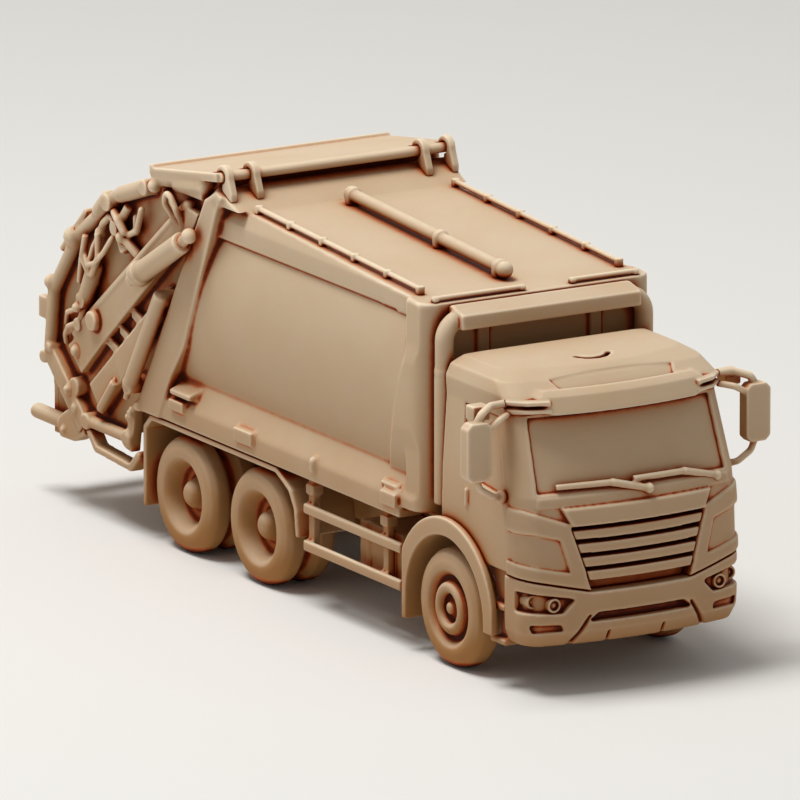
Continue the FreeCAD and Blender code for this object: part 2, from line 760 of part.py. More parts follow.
shallow = cut(fused(*both(fog_slot), *both(skid_line), *notches), bumper_skin(-0.8))
bumper_hollow = box((S.bumper_rear_x - 1, S.bumper_nose_x - S.bumper_depth),
                    (-S.cab_half + 1.7, S.cab_half - 1.7), (0, 21))
keep("front_bumper", cut(
    common(bumper_skin(0), bumper_area),
    bumper_hollow, common(outer_skin, slab(S.cab_floor_z, FAR)),
    *both(lamp_pocket), cut(intake, bumper_skin(-1.6)), shallow,
))

lamp_pieces = []
for y, z, tip_x in ((-19.2, 16.2, S.bumper_nose_x - 3.9), (-16.2, 15.6, S.bumper_nose_x - 2.0)):
    lamp = fused(
        ring("x", tip_x - 3.0, tip_x, (y, z), 1.25, 0.85),
        rod("x", tip_x - 3.0, tip_x - 0.6, (y, z), 0.95),
        ball(tip_x - 0.7, y, z, 0.5),
    )
    lamp_pieces.extend(both(lamp))
keep("headlamps", cut(
    fused(*lamp_pieces), cut(common(bumper_skin(0), bumper_area), fused(*both(lamp_pocket)))))

tread_x = (S.front_axle_x + 12.5, S.bumper_rear_x)
tread_y = -S.cab_half + 0.1
treads = [
    box(tread_x, (tread_y, tread_y + 6.2), (low, low + 1.2))
    for low in (S.bumper_low_z - 1.0, 13.3)
]
riser = cut(
    box((S.front_axle_x + 8.0, S.bumper_rear_x), (tread_y + 1.2, tread_y + 6.2),
        (S.bumper_low_z, S.cab_floor_z)),
    rod("y", -FAR, 0, (S.front_axle_x, axle_z), S.arch_radius + 1.5),
)
step = fused(*treads, riser)
keep("cab_steps", fused(*both(step)))


# ---------------------------------------------------------------------------
# Front wheel arches, wipers and mirrors
# ---------------------------------------------------------------------------
hub = (S.front_axle_x, axle_z)
arch_outer = S.arch_radius + S.arch_lip
arch_inner_y = -S.cab_half - 0.05
flap_x = (S.front_axle_x - S.arch_radius - 1.3, S.front_axle_x - S.arch_radius)
arch = cut(
    common(
        fused(
            rod("y", -S.arch_face_y, arch_inner_y, hub, arch_outer),
            rod("y", arch_inner_y, -14.0, hub, S.arch_radius + 1.2),
        ),
        box((flap_x[0], S.front_axle_x + 15.5), (-FAR, 0), (axle_z - 1.2, FAR)),
    ),
    rod("y", -FAR, 0, hub, S.arch_radius),
    box((S.cab_rear_x - S.seam, FAR), (arch_inner_y - 0.01, 0), (0, FAR)),
)
flap = box(flap_x, (-S.arch_face_y, -14.0), (5.6, axle_z))
pair("front_arch", fused(arch, flap))


def glass_x(y, z):
    """The windscreen's surface at a point across and up."""
    return S.cab_nose_x - 1.2 - 0.365 * (z - 33.0) - y * y / 150 + 0.35


wiper_pieces = []
for pivot_y in (1.9, 16.2):
    knee_y = pivot_y - 6.6
    tip_y = pivot_y - 17.0
    knee = (glass_x(knee_y, 35.3), knee_y, 35.3)
    wiper_pieces.extend([
        strut((glass_x(pivot_y, 33.6), pivot_y, 33.6), knee, 0.7),
        strut(knee, (glass_x(tip_y, 35.4), tip_y, 35.4), 0.6),
        ball(*knee, 0.75),
        ball(glass_x(pivot_y, 33.6), pivot_y, 33.6, 1.0),
    ])
keep("wipers", cut(chained(*wiper_pieces), outer_skin, bonnet_lip))

mirror_x = 75.2
mirror_low = 37.0
mirror_top = 47.1


def eased(y, z, corner):
    """A rectangle across and up whose four corners are cut off."""
    return [
        (y[0] + corner, z[0]), (y[1] - corner, z[0]), (y[1], z[0] + corner),
        (y[1], z[1] - corner), (y[1] - corner, z[1]), (y[0] + corner, z[1]),
        (y[0], z[1] - corner), (y[0], z[0] + corner),
    ]


housing = prism("YZ", eased((-S.mirror_y - 2.4, -S.mirror_y + 2.4), (mirror_low, mirror_top), 0.9),
                mirror_x - 1.3, mirror_x + 1.3)
glass = box((mirror_x - 1.4, mirror_x - 0.9), (-S.mirror_y - 1.9, -S.mirror_y + 1.9),
            (mirror_low + 0.8, mirror_top - 0.8))
wide_housing = box((mirror_x - 5.4, mirror_x - 2.6), (-S.mirror_y + 1.1, -S.mirror_y + 4.3),
                   (mirror_top - 0.8, mirror_top + 1.8))
low_arm = bent_rod([
    (mirror_x, -S.mirror_y, mirror_low + 0.3), (mirror_x, -S.mirror_y + 0.8, mirror_low - 1.6),
    (mirror_x, -S.cab_half - 2.6, mirror_low - 3.2),
    (mirror_x - 1.2, -S.cab_half + 0.5, mirror_low - 3.8),
], 0.6, 1.0)
high_arm = bent_rod([
    (mirror_x, -S.mirror_y, mirror_top - 0.4), (mirror_x, -S.mirror_y + 1.0, mirror_top + 1.2),
    (mirror_x - 1.4, -S.cab_half - 2.4, mirror_top + 2.0),
    (mirror_x - 1.8, -S.cab_half + 0.9, mirror_top + 2.0),
], 0.7, 0.8)
inner_arm = bent_rod([
    (mirror_x + 0.5, -S.mirror_y + 2.0, mirror_top - 1.4),
    (mirror_x + 0.3, -S.cab_half - 1.8, mirror_top - 0.2),
    (mirror_x - 1.2, -S.cab_half + 0.9, mirror_top + 0.4),
], 0.6, 1.0)
wide_stay = strut((mirror_x - 4.0, -S.mirror_y + 2.7, mirror_top + 0.8),
                  (mirror_x - 1.3, -S.cab_half - 2.6, mirror_top + 1.9), 0.5)
pair("mirror", cut(
    chained(cut(housing, glass), high_arm, wide_housing, wide_stay, low_arm,
            ball(mirror_x - 0.8, -S.cab_half - 0.6, mirror_low - 3.6, 1.2), inner_arm),
    outer_skin, sun_visor,
))




# ---------------------------------------------------------------------------
# Refuse body: a hollow barrel-sided box with a front collar, open at its rear
# ---------------------------------------------------------------------------
# side outline of a rear post as x, z: its front edge in two parts, and its rear edge
POST_LOW = ((-37.4, 22.9), (-32.9, 31.2))
POST_HIGH = ((-28.4, 37.5), (-19.6, 58.35))
POST_REAR = ((-45.6, 22.5), (-21.6, 64.4))
roof_slope = (S.roof_rear_z - S.roof_front_z) / (S.body_front_x - S.band_front_x)


def roof_z(x):
    """Height of the roof at a distance along the body."""
    return S.roof_front_z + (S.body_front_x - x) * roof_slope


def body_profile(inset):
    """Side outline of the body, drawn in by the wall for the load space."""
    front = S.body_front_x - inset
    floor = S.body_low_z + inset
    top = S.roof_rear_z - inset
    back = [(-FAR, top), (-FAR, floor)]
    if float(dim(inset)) == 0:
        back = [(on_line(top, *POST_HIGH), top), POST_HIGH[0], POST_LOW[1],
                (on_line(floor, *POST_LOW), floor)]
    return prism("XZ", [
        (front, floor), (front, S.roof_front_z - inset), (S.band_front_x, top), *back,
    ], -FAR, FAR)


def barrel(inset):
    """Two big rods along the body whose overlap gives the bulging sides."""
    middle = S.barrel_bulge_y - S.barrel_radius
    sides = [
        rod("x", -FAR, FAR, (way * middle, S.barrel_mid_z), S.barrel_radius - inset)
        for way in (-1, 1)
    ]
    return common(*sides)


collar_corner = 3.5
collar = fused(
    box((S.collar_rear_x, S.body_front_x - collar_corner), (-S.collar_half, S.collar_half),
        (S.sill_low_z + 2, S.roof_front_z + 3)),
    box((S.collar_rear_x, S.body_front_x),
        (-S.collar_half + collar_corner, S.collar_half - collar_corner),
        (S.body_low_z, S.roof_front_z + 3)),
    *both(rod("z", S.sill_low_z + 2, S.roof_front_z + 3,
              (S.body_front_x - collar_corner, -S.collar_half + collar_corner), collar_corner)),
)
# The collar leans in above the beam so that the roof edge stays narrow.
collar_shape = common(collar, prism("YZ", [
    (-S.collar_half, 0), (S.collar_half, 0), (S.collar_half, 57.0), (S.roof_beam_y, 61.0),
    (S.roof_beam_y - 1.6, S.roof_rear_z), (-S.roof_beam_y + 1.6, S.roof_rear_z),
    (-S.roof_beam_y, 61.0), (-S.collar_half, 57.0),
], -FAR, FAR))
beam = prism("YZ", [
    (-S.roof_beam_y, S.roof_beam_z), (-17.0, S.roof_beam_z), (-17.0, FAR),
    (-S.roof_beam_y + 1.2, FAR), (-S.roof_beam_y + 1.2, S.roof_rear_z),
    (-S.roof_beam_y, S.roof_front_z + 0.6),
], -FAR, S.body_front_x - 3.2)
crevice = box((-FAR, S.collar_rear_x), (-FAR, -S.roof_beam_y + 1.4),
              (S.roof_beam_z - 0.6, S.roof_beam_z))
body_solid = cut(
    common(body_profile(dim(0)), fused(barrel(0), collar_shape, *both(beam))),
    *both(crevice),
)
bulkhead_posts = [
    box((S.body_front_x, S.body_front_x + 0.8), (y - 1, y + 1), (27.0, 57.0))
    for y in (-11.0, 11.0)
]
keep("refuse_body", fused(
    cut(body_solid, common(body_profile(S.body_wall), barrel(S.body_wall))),
    *bulkhead_posts,
))

# Sills with the stepped blocks, brackets and knobs that stand on them
sill_x = (on_line(S.sill_low_z, *POST_LOW), S.body_front_x - 7)
sill = prism("YZ", [
    (-18.2, S.sill_low_z), (-S.sill_face_y, S.sill_low_z), (-S.sill_face_y, S.sill_bevel_z),
    (-21.05, S.sill_high_z), (-18.2, S.sill_high_z),
], *sill_x)
bevel = ((-S.sill_face_y, S.sill_bevel_z), (-21.05, S.sill_high_z))


def bevel_plate(x, low, high, thickness):
    """A plate lying on the sill's bevel."""
    feet = [(on_line(z, *bevel), z) for z in (low, high)]
    return prism("YZ", [
        (feet[0][0] - thickness, low), (feet[1][0] - thickness, high),
        (feet[1][0] + 1, high), (feet[0][0] + 1, low),
    ], *x)


face = -S.sill_face_y
sill_blocks = [
    prism("YZ", [(face - 0.8, 28.3), (face - 0.8, 29.3), (-20.8, 30.6), (-20.8, 28.3)],
          -32.6, -25.6),
    box((-33.2, -28.2), (face - 0.8, face + 1), (25.6, 27.6)),
    box((-11.1, -4.9), (face - 0.8, face + 1), (24.8, 27.4)),
    rod("z", 24.8, 26.8, (15.1, face), 0.9),
    ball(15.1, face, 26.8, 0.9),
    bevel_plate((36.0, 43.0), 27.5, 30.3, 0.5),
    bevel_plate((37.0, 42.0), 28.0, 29.8, 0.9),
    box((38.0, sill_x[1]), (face - 0.8, face + 1), (24.6, 27.2)),
]
behind_post = prism("XZ", [
    *[(on_line(z, *POST_LOW) + S.seam, z) for z in (S.sill_low_z - 1, S.sill_high_z + 1)],
    (-FAR, S.sill_high_z + 1), (-FAR, S.sill_low_z - 1),
], -FAR, FAR)
pair("sill", cut(fused(sill, *sill_blocks), body_solid, behind_post))

# Header frame of tubes behind the cab
tube_x = S.body_front_x + 2
tube_y = 19.6
header = prism("XZ", [
    (S.body_front_x, 57.3), (54.68, 57.06), (54.55, 59.69), (50.9, 60.7), (S.body_front_x, 60.7),
], -tube_y + 2, tube_y - 2)
upright = fused(
    bent_rod([(tube_x, -tube_y, 27.0), (tube_x, -tube_y, 58.7), (tube_x, -13.0, 58.7)], 1.6, 3.6),
    rod("z", 27.0, 49.0, (tube_x, -tube_y), 1.72),
    rod("z", 49.4, 50.4, (tube_x, -tube_y), 1.72),
)
keep("header_frame", fused(header, *both(upright)))

# Roof: rails on pegs at each side, short rods at the front, one pipe
rail_end_x = (S.band_front_x + 0.6, 44.6)
rail_lift = 0.9
roof_pieces = []
for y in (-S.roof_rail_y, S.roof_rail_y):
    ends = [(x, y, roof_z(x) + rail_lift) for x in rail_end_x]
    roof_pieces.append(strut(*ends, S.roof_rail_radius))
    for i in range(6):
        x = rail_end_x[0] + 0.6 + i * (rail_end_x[1] - rail_end_x[0] - 1.2) / 5
        roof_pieces.append(box((x - 0.5, x + 0.5), (y - 0.7, y + 0.7),
                               (roof_z(x) - 0.3, roof_z(x) + rail_lift + 0.6)))
front_rod_x = S.body_front_x - 1.0
for y_low, y_high in ((-20.3, -2.0), (6.6, 20.3)):
    z = roof_z(front_rod_x) + 0.55
    roof_pieces.append(rod("y", y_low, y_high, (front_rod_x, z), S.roof_rail_radius))
    for y in (y_low + 0.6, y_high - 0.6):
        roof_pieces.append(box((front_rod_x - 0.6, front_rod_x + 0.6), (y - 0.5, y + 0.5),
                               (z - 1.2, z + 0.1)))
keep("roof_rails", cut(fused(*roof_pieces), body_solid))

pipe_y = -2.0
pipe_radius = 1.1
pipe_lift = 1.7
pipe_x = (-8.0, 42.4)
pipe_ends = [(x, pipe_y, roof_z(x) + pipe_lift) for x in pipe_x]
pipe_pieces = [strut(*pipe_ends, pipe_radius), ball(*pipe_ends[1], 1.5), ball(*pipe_ends[0], 1.5)]
for x in (pipe_x[0] + 0.4, 21.4, pipe_x[1] - 1.6):
    z = roof_z(x)
    pipe_pieces.extend([
        rod("x", x - 0.6, x + 0.6, (pipe_y, z + pipe_lift), 1.5),
        box((x - 0.6, x + 0.6), (pipe_y - 1.5, pipe_y + 1.5), (z - 0.3, z + pipe_lift)),
    ])
keep("roof_pipe", cut(fused(*pipe_pieces), body_solid))


# ---------------------------------------------------------------------------
# Rear portal of the body: slanted posts, cross band and hinge lugs
# ---------------------------------------------------------------------------
post = prism("XZ", [
    (on_line(S.sill_low_z, *POST_LOW), S.sill_low_z), POST_LOW[1], POST_HIGH[0],
    (on_line(S.roof_rear_z, *POST_HIGH), S.roof_rear_z),
    (-15.4, 66.3), (-17.2, 67.1), (-18.6, 66.4), (on_line(65.0, *POST_REAR), 65.0),
    (on_line(S.sill_low_z, *POST_REAR), S.sill_low_z),
], -S.post_outer_y, -S.post_inner_y)
dimple = rod("y", -S.post_outer_y - 1, -S.post_outer_y + 0.2, (-18.0, 64.6), 0.8)
band_ridge = (-18.0, 67.7)
band = prism("XZ", [
    (S.band_front_x, S.roof_rear_z), band_ridge, (-19.2, 66.6),
    (on_line(62.6, *POST_HIGH) - 1.6, 62.6), (on_line(62.6, *POST_HIGH), 62.6),
    (on_line(S.roof_rear_z, *POST_HIGH), S.roof_rear_z),
], -S.post_outer_y + 0.7, S.post_outer_y - 0.7)
portal = cut(fused(*both(post), band), *both(dimple))
keep("rear_portal", portal)

lug_outer_y = S.gate_half + 0.8
lug_inner_y = S.gate_half - 4.4
lug_positions = [-lug_outer_y, -lug_inner_y, lug_inner_y, lug_outer_y]
lug_half = S.lug_width / 2
lug_pieces = []
for y in lug_positions:
    hook = cut(
        rod("y", y - lug_half, y + lug_half, (S.hinge_x, S.hinge_z), S.lug_radius),
        box((S.hinge_x - 5, S.hinge_x), (y - 2, y + 2), (S.hinge_z - 5, S.hinge_z)),
    )
    tip = prism("XZ", [
        (S.hinge_x, S.hinge_z), (S.hinge_x + S.lug_radius, S.hinge_z), (-13.5, 67.0),
        (-13.6, 65.2), (-16.2, 66.4), (S.hinge_x, S.hinge_z - S.lug_radius),
    ], y - lug_half, y + lug_half)
    lug_pieces.append(fused(hook, tip))
keep("hinge_lugs", cut(
    fused(*lug_pieces),
    rod("y", -FAR, FAR, (S.hinge_x, S.hinge_z), S.hinge_radius + S.running_gap),
    portal,
))


# ---------------------------------------------------------------------------
# Mudguards, side guards and tanks
# ---------------------------------------------------------------------------
guard_top = S.sill_low_z - 0.2
guard_skin = 1.1
front_leg_x = S.mid_axle_x + S.tyre_radius + 5.2
rear_leg_x = S.rear_axle_x - S.tyre_radius - 0.7
guard_outer = [
    (rear_leg_x - guard_skin, 6.0), (rear_leg_x - guard_skin, guard_top - 2.4),
    (rear_leg_x + 1.4, guard_top), (S.mid_axle_x + 8.2, guard_top),
    (front_leg_x - 2.2, guard_top - 3.0), (front_leg_x - 0.4, guard_top - 6.5),
    (front_leg_x + 0.2, 11.8),
]
guard_inner = [
    (front_leg_x + 0.2 - guard_skin, 11.8), (front_leg_x - 0.4 - guard_skin, guard_top - 6.2),
    (front_leg_x - 2.2 - guard_skin, guard_top - 3.4), (S.mid_axle_x + 7.8, guard_top - guard_skin),
    (rear_leg_x + 1.8, guard_top - guard_skin), (rear_leg_x, guard_top - 2.8), (rear_leg_x, 6.0),
]
mudguard = fused(
    prism("XZ", guard_outer + guard_inner, -S.sill_face_y + 0.4, -twin_inner_y),
    box(((S.mid_axle_x + S.rear_axle_x) / 2 - 1, (S.mid_axle_x + S.rear_axle_x) / 2 + 1),
        (-twin_inner_y - 0.5, -rail_outer), (flange_high, guard_top)),
)
pair("rear_mudguard", mudguard)

side_rail_x = (front_leg_x + 1.0, flap_x[0] - 0.8)
side_face = 22.4
side_pieces = [
    box(side_rail_x, (-side_face, -side_face + 1.0), (z - 0.95, z + 0.95)) for z in (10.8, 17.3)
]
for x in (side_rail_x[0] + 1.2, side_rail_x[1] - 6.5):
    side_pieces.append(box((x - 0.9, x + 0.9), (-side_face + 1.0, -side_face + 2.4),
                           (9.6, S.sill_low_z)))
    side_pieces.append(box((x - 1.3, x + 1.3), (-side_face + 0.6, -side_face + 3.0),
                           (19.8, 21.6)))

tank = fused(
    box((24.6, 39.0), (-19.8, -rail_outer), (9.2, 18.4)),
    *[box((x, x + 1.1), (-20.1, -rail_outer), (8.9, 18.7)) for x in (27.0, 35.4)],
)
pair("tank", tank)
pair("side_guard", cut(fused(*side_pieces), tank))


# ---------------------------------------------------------------------------
# Tailgate: side plates, hood, rear shield and hopper tub
# ---------------------------------------------------------------------------
# corners of the tailgate's side outline: x, z, from the hinge round to the front
GATE = [
    (-20.0, 67.9), (-38.8, 63.9), (-52.8, 59.0), (-57.7, 55.3), (-66.1, 49.4),
    (-74.7, 38.1), (-76.2, 26.9), (-63.8, 15.8), (-50.5, 16.9),
]
front_top = (on_line(66.0, *POST_REAR) - S.gate_gap, 66.0)
front_low = (on_line(21.0, *POST_REAR) - S.gate_gap, 21.0)
plate_outline = GATE + [front_low, front_top]
side_plate = prism("XZ", plate_outline, -S.gate_half, -S.gate_half + S.gate_wall)
hood_skin = prism("XZ", [
    (-20.0, 67.9), (-38.8, 63.9), (-52.8, 59.0), (-57.7, 55.3), (-66.1, 49.4),
    (-65.1, 48.4), (-57.0, 54.1), (-52.3, 57.7), (-38.4, 62.6), (-20.5, 66.4),
], -S.gate_half, S.gate_half)
tub_floor = prism("XZ", [
    front_low, (-50.5, 16.9), (-63.8, 15.8), (-64.2, 17.4), (-51.0, 18.4),
    (on_line(22.6, *POST_REAR) - S.gate_gap, 22.6),
], -S.gate_half, S.gate_half)
tub_rear = prism("XZ", [
    (-63.8, 15.8), (-75.4, 26.2), (-74.4, 27.3), (-63.8, 17.6),
], -S.tub_half, S.tub_half)
tub_side = prism("XZ", [
    (-63.8, 15.8), (-75.4, 26.2), (-74.4, 27.3), (-60.0, 27.3), (-60.0, 16.2),
], -S.tub_half, -S.tub_half + S.gate_wall)
lift = (S.lift_x, S.lift_z)
pin_boss = rod("y", -S.frame_y - 0.9, -S.gate_half, lift, 1.7)
pin_bore = rod("y", -S.frame_y - 0.2, 0, lift, S.lift_pin_radius + S.running_gap)
flank = cut(fused(side_plate, pin_boss), cut(pin_bore, box((-FAR, 0), (-S.arm_y, 0), (0, FAR))))
keep("tailgate_shell", fused(*both(flank), hood_skin, tub_floor, tub_rear, *both(tub_side)))

hood_half = S.gate_half + 2.6
hinge_tube = rod("y", -hood_half + 0.6, hood_half - 0.6, (S.hinge_x, S.hinge_z), S.hinge_radius)
hood_rear_x = -39.6
hood_top = (66.9, S.hinge_z + S.hinge_radius)
hood_web = prism("XZ", [
    (S.hinge_x, hood_top[1]), (hood_rear_x, hood_top[0]), (hood_rear_x, 64.1),
    (-38.8, 63.9), (-20.0, 67.9), (S.hinge_x, S.hinge_z - S.hinge_radius),
], -S.gate_half, S.gate_half)
hood_sheet = prism("XZ", [
    (S.hinge_x, hood_top[1]), (hood_rear_x, hood_top[0]), (hood_rear_x, hood_top[0] - 1.3),
    (S.hinge_x, hood_top[1] - 1.7),
], -hood_half, hood_half)
rear_lip = prism("XZ", [
    (hood_rear_x, 66.0), (hood_rear_x, 67.5), (hood_rear_x + 0.9, 67.6),
    (hood_rear_x + 1.2, 66.8), (hood_rear_x + 1.2, 66.0),
], -hood_half, hood_half)
notches = [
    box((S.hinge_x - 3.0, S.hinge_x + 3),
        (y - lug_half - S.seam, y + lug_half + S.seam), (S.hinge_z - 5, S.hinge_z + 5))
    for y in lug_positions
]
keep("tailgate_hood", fused(cut(fused(hood_web, hood_sheet, rear_lip), *notches), hinge_tube))


# ---------------------------------------------------------------------------
# Tailgate flanks: bent frame, guide beam and the packing gear open to view
# ---------------------------------------------------------------------------
flank_y = -S.gate_half
frame_out = -S.frame_y - 0.9
frame_path = [(-40.4, -S.frame_y, 63.35)] + [(x, -S.frame_y, z) for x, z in GATE[2:7]]
hood_tube = [
    rod("x", -31.6, -22.1, (-S.frame_y, 65.4), S.frame_radius),
    rod("y", -S.frame_y, flank_y, (-30.0, 65.4), 0.9),
    rod("y", -S.frame_y, flank_y, (-23.6, 65.4), 0.9),
]
collars = [
    strut((-64.6, -S.frame_y, 50.5), (-67.4, -S.frame_y, 47.7), S.frame_radius + 0.1),
    rod("y", frame_out - 0.7, flank_y, (-41.6, 62.9), S.frame_radius + 0.3),
    rod("y", frame_out - 0.7, flank_y, (-54.6, 57.6), S.frame_radius + 0.4),
]
low_beam = cut(flat_bar(GATE[6], GATE[7], (3.6, 3.8), frame_out, flank_y), pin_boss)
sill_tube = [
    rod("x", -62.8, -48.4, (-S.frame_y, 16.9), 1.1),
    rod("y", frame_out - 0.3, flank_y, (-62.6, 16.9), 1.5),
    rod("y", frame_out - 0.3, flank_y, (-48.4, 16.9), 1.6),
]
upright_webs = [
    flat_bar(a, b, (1.0, 1.0), -S.frame_y, flank_y) for a, b in zip(GATE[4:6], GATE[5:7])
]
top_sleeve = cut(
    strut((-42.6, -S.frame_y, 62.57), (-51.6, -S.frame_y, 59.43), 1.5),
    box((-60, -30), (flank_y, 0), (50, 70)),
)
outer_strip = flat_bar((-62.4, 54.6), (-71.4, 45.8), (1.0, 1.0), frame_out, flank_y)
tail_lamp = box((-79.0, -74.9), (frame_out, -S.frame_y + 0.9), (32.2, 36.2))
reflector = rod("y", -S.frame_y - 1.1, -S.frame_y + 0.8, (-77.4, 25.4), 1.2)
post_bracket = flat_bar((-46.9, 22.6), (-48.2, 14.8), (2.2, 2.2), -S.frame_y - 0.7, flank_y)
bolt_heads = [
    rod("y", frame_out - 0.5, flank_y, spot, 0.8)
    for spot in ((-47.0, 21.6), (-47.9, 17.0), (-66.4, 18.4), (-75.0, 27.6))
]
pair("gate_frame", chained(
    bent_rod(frame_path, S.frame_radius, 1.6), *upright_webs, top_sleeve, *collars, *hood_tube,
    low_beam, *sill_tube, outer_strip, tail_lamp, reflector, post_bracket, *bolt_heads,
))

post_side = prism("XZ", [
    front_low, front_top, (front_top[0] + 30, 70.0), (front_low[0] + 40, 10.0),
], -FAR, 0)
hood_hose = [
    (-31.4, flank_y - 1.2, 57.6), (-33.2, flank_y - 3.2, 62.0), (-31.4, flank_y - 3.8, 65.2),
    (-29.4, flank_y - 3.2, 61.6), (-29.8, flank_y - 1.2, 57.8),
]
beam = prism("XZ", [
    (-27.6, 62.1), (-69.2, 29.1), (-64.7, 25.0), (-57.8, 31.4), (-22.6, 61.4),
], flank_y - 1.9, flank_y)
guide = chained(
    beam,
    rod("y", flank_y - 3.2, flank_y - 1.9, (-59.4, 35.6), 1.8),
    ball(-66.2, flank_y - 1.9, 28.7, 1.1),
    ball(-45.6, flank_y - 1.9, 46.3, 0.8),
    bent_rod(hood_hose, 0.6, 1.2),
)
pair("guide_beam", cut(guide, post_side))

barrel_low = (-40.7, -S.cylinder_y, 47.8)
barrel_high = (-25.2, -S.cylinder_y, 56.9)
eye = (-23.0, -S.cylinder_y, 58.4)
collar_end = (-38.9, -S.cylinder_y, 48.9)
pair("packing_cylinder", chained(
    strut(barrel_low, barrel_high, S.cylinder_radius),
    strut(barrel_low, collar_end, S.cylinder_radius + 0.4),
    strut(barrel_high, eye, 1.0),
    ball(*eye, 1.4),
    strut((-42.6, -S.cylinder_y, 46.7), barrel_low, 1.2),
    ball(-42.6, -S.cylinder_y, 46.7, 1.2),
    rod("y", -S.cylinder_y, flank_y - 1.9, (-39.8, 48.6), 1.2),
    rod("y", -S.cylinder_y, flank_y - 1.9, (-30.4, 54.4), 1.0),
))

sweep_y = flank_y - 3.3
sweep_low = (-45.2, sweep_y, 27.3)
rungs = [
    flat_bar(start, end, (width, width), flank_y - 1.2, flank_y)
    for start, end, width in (
        ((-57.0, 32.6), (-50.0, 29.8), 1.8), ((-52.4, 35.4), (-46.6, 32.8), 1.6),
        ((-48.2, 39.3), (-41.6, 36.4), 2.0),
    )
]
pair("sweep_gear", chained(
    *[cut(rung, beam) for rung in rungs],
    flat_bar((-34.8, 45.6), (-60.4, 21.2), (2.4, 6.4), flank_y - 1.6, flank_y),
    strut((-34.2, sweep_y, 45.6), sweep_low, 1.4),
    strut(sweep_low, (-46.6, sweep_y, 24.6), 0.6),
    rod("y", sweep_y - 0.5, flank_y, (-34.8, 44.7), 1.4),
    rod("y", sweep_y - 0.8, flank_y, (-45.2, 27.3), 1.6),
    strut((-52.7, flank_y - 1.9, 26.0), (-57.8, flank_y - 1.9, 20.0), 0.9),
))


# Valve gear: small cylinder, levers and the hose loops that feed it
def on_flank(points, out):
    """Points (x, z) on the right-hand flank at a distance out from the plate."""
    return [(x, flank_y - out, z) for x, z in points]


hose_loop = on_flank([
    (-65.2, 41.0), (-64.2, 46.8), (-60.6, 45.0), (-59.2, 49.6), (-57.0, 53.4),
    (-54.2, 55.4), (-51.8, 52.6), (-50.0, 49.6),
], 1.6)
hose_tail = on_flank([
    (-61.6, 50.4), (-62.8, 46.2), (-59.8, 43.2), (-57.2, 47.4), (-57.4, 51.6),
], 2.6)
valve_pivots = [
    rod("y", flank_y - out, flank_y, spot, radius)
    for spot, radius, out in (
        ((-61.6, 42.0), 1.0, 1.6), ((-63.4, 38.4), 1.4, 2.9),
        ((-65.4, 33.6), 1.2, 2.4), ((-52.6, 53.4), 1.3, 2.4),
    )
]
pair("valve_gear", chained(
    strut(*on_flank([(-59.9, 45.4), (-63.4, 38.4)], 1.6), 1.5),
    *valve_pivots,
    strut(*on_flank([(-63.4, 38.4), (-65.4, 33.6)], 1.4), 0.8),
    strut(*on_flank([(-65.4, 33.6), (-70.0, 31.4)], 1.2), 0.8),
    bent_rod(hose_loop, 0.7, 1.1),
    bent_rod(hose_tail, 0.6, 1.0),
    strut(*on_flank([(-52.6, 53.4), (-48.6, 58.0)], 1.4), 0.8),
    strut(*on_flank([(-52.6, 53.4), (-49.4, 49.8)], 1.2), 1.0),
))

# Step loops hung below the tub on each side
loop_points = [(-62.6, 16.0), (-59.5, 12.7), (-47.5, 11.9), (-44.9, 14.6)]
loop_bars = [
    flat_bar(a, b, (1.4, 1.4), -S.frame_y - 0.9, -S.frame_y + 1.9)
    for a, b in zip(loop_points, loop_points[1:])
]
loop_corners = [
    rod("y", -S.frame_y - 0.9, -S.frame_y + 1.9, point, 0.7) for point in loop_points
]
bracket = fused(
    prism("XZ", [(-63.4, 14.2), (-67.4, 12.2), (-72.2, 12.0), (-73.6, 14.4), (-72.0, 16.2),
                 (-68.6, 18.2), (-65.0, 17.6)], -S.frame_y - 0.6, -S.arm_y - 1.2),
    rod("x", -83.7, -71.0, (-S.frame_y + 1.3, 14.2), 1.4),
    ball(-70.7, -S.frame_y - 0.6, 13.6, 0.8),
)
gate_step = cut(
    fused(*loop_bars, *loop_corners, bracket),
    fused(*sill_tube), low_beam, side_plate, tub_floor, post_bracket,
)
keep("gate_steps", fused(*both(gate_step)))

# Packer: a carriage plate and a swinging blade, seen through the loading mouth
packer_half = S.gate_half - S.gate_wall - S.seam
keep("packer_blade", fused(
    prism("XZ", [
        (-40.0, 59.6), (-43.0, 58.6), (-55.4, 42.4), (-59.6, 31.6), (-57.8, 30.6),
        (-53.0, 40.2), (-41.0, 55.0),
    ], -packer_half, packer_half),
    rod("y", -packer_half, packer_half, (-54.6, 42.0), 1.8),
    *[
        prism("XZ", [(-54.0, 40.0), (-52.0, 36.5), (-57.6, 31.0), (-58.6, 31.6)], y - 0.6, y + 0.6)
        for y in (-13.0, -4.4, 4.4, 13.0)
    ],
))


# ---------------------------------------------------------------------------
# Bin lifter: two arms on pins, a toothed comb across the back
# ---------------------------------------------------------------------------
arm_outer = S.arm_y + S.arm_width / 2
arm_inner = S.arm_y - S.arm_width / 2
arm_eye = 1.7
comb_back = S.comb_x + 1.6
arm = fused(
    rod("y", -arm_outer, -arm_inner, lift, arm_eye),
    prism("XZ", [
        (S.lift_x + 0.6, S.lift_z - 1.6), (S.lift_x - 1.4, S.lift_z + 0.9),
        (comb_back, 18.6), (comb_back, 12.2), (S.lift_x - 5.0, 12.6),
    ], -arm_outer, -arm_inner),
    rod("y", -S.frame_y + 0.1, -arm_inner, lift, S.lift_pin_radius),
)
lifter_cross = rod("y", -arm_outer, arm_outer, (comb_back + 1.2, 13.6), 1.1)
keep("bin_lifter", fused(*both(arm), lifter_cross))

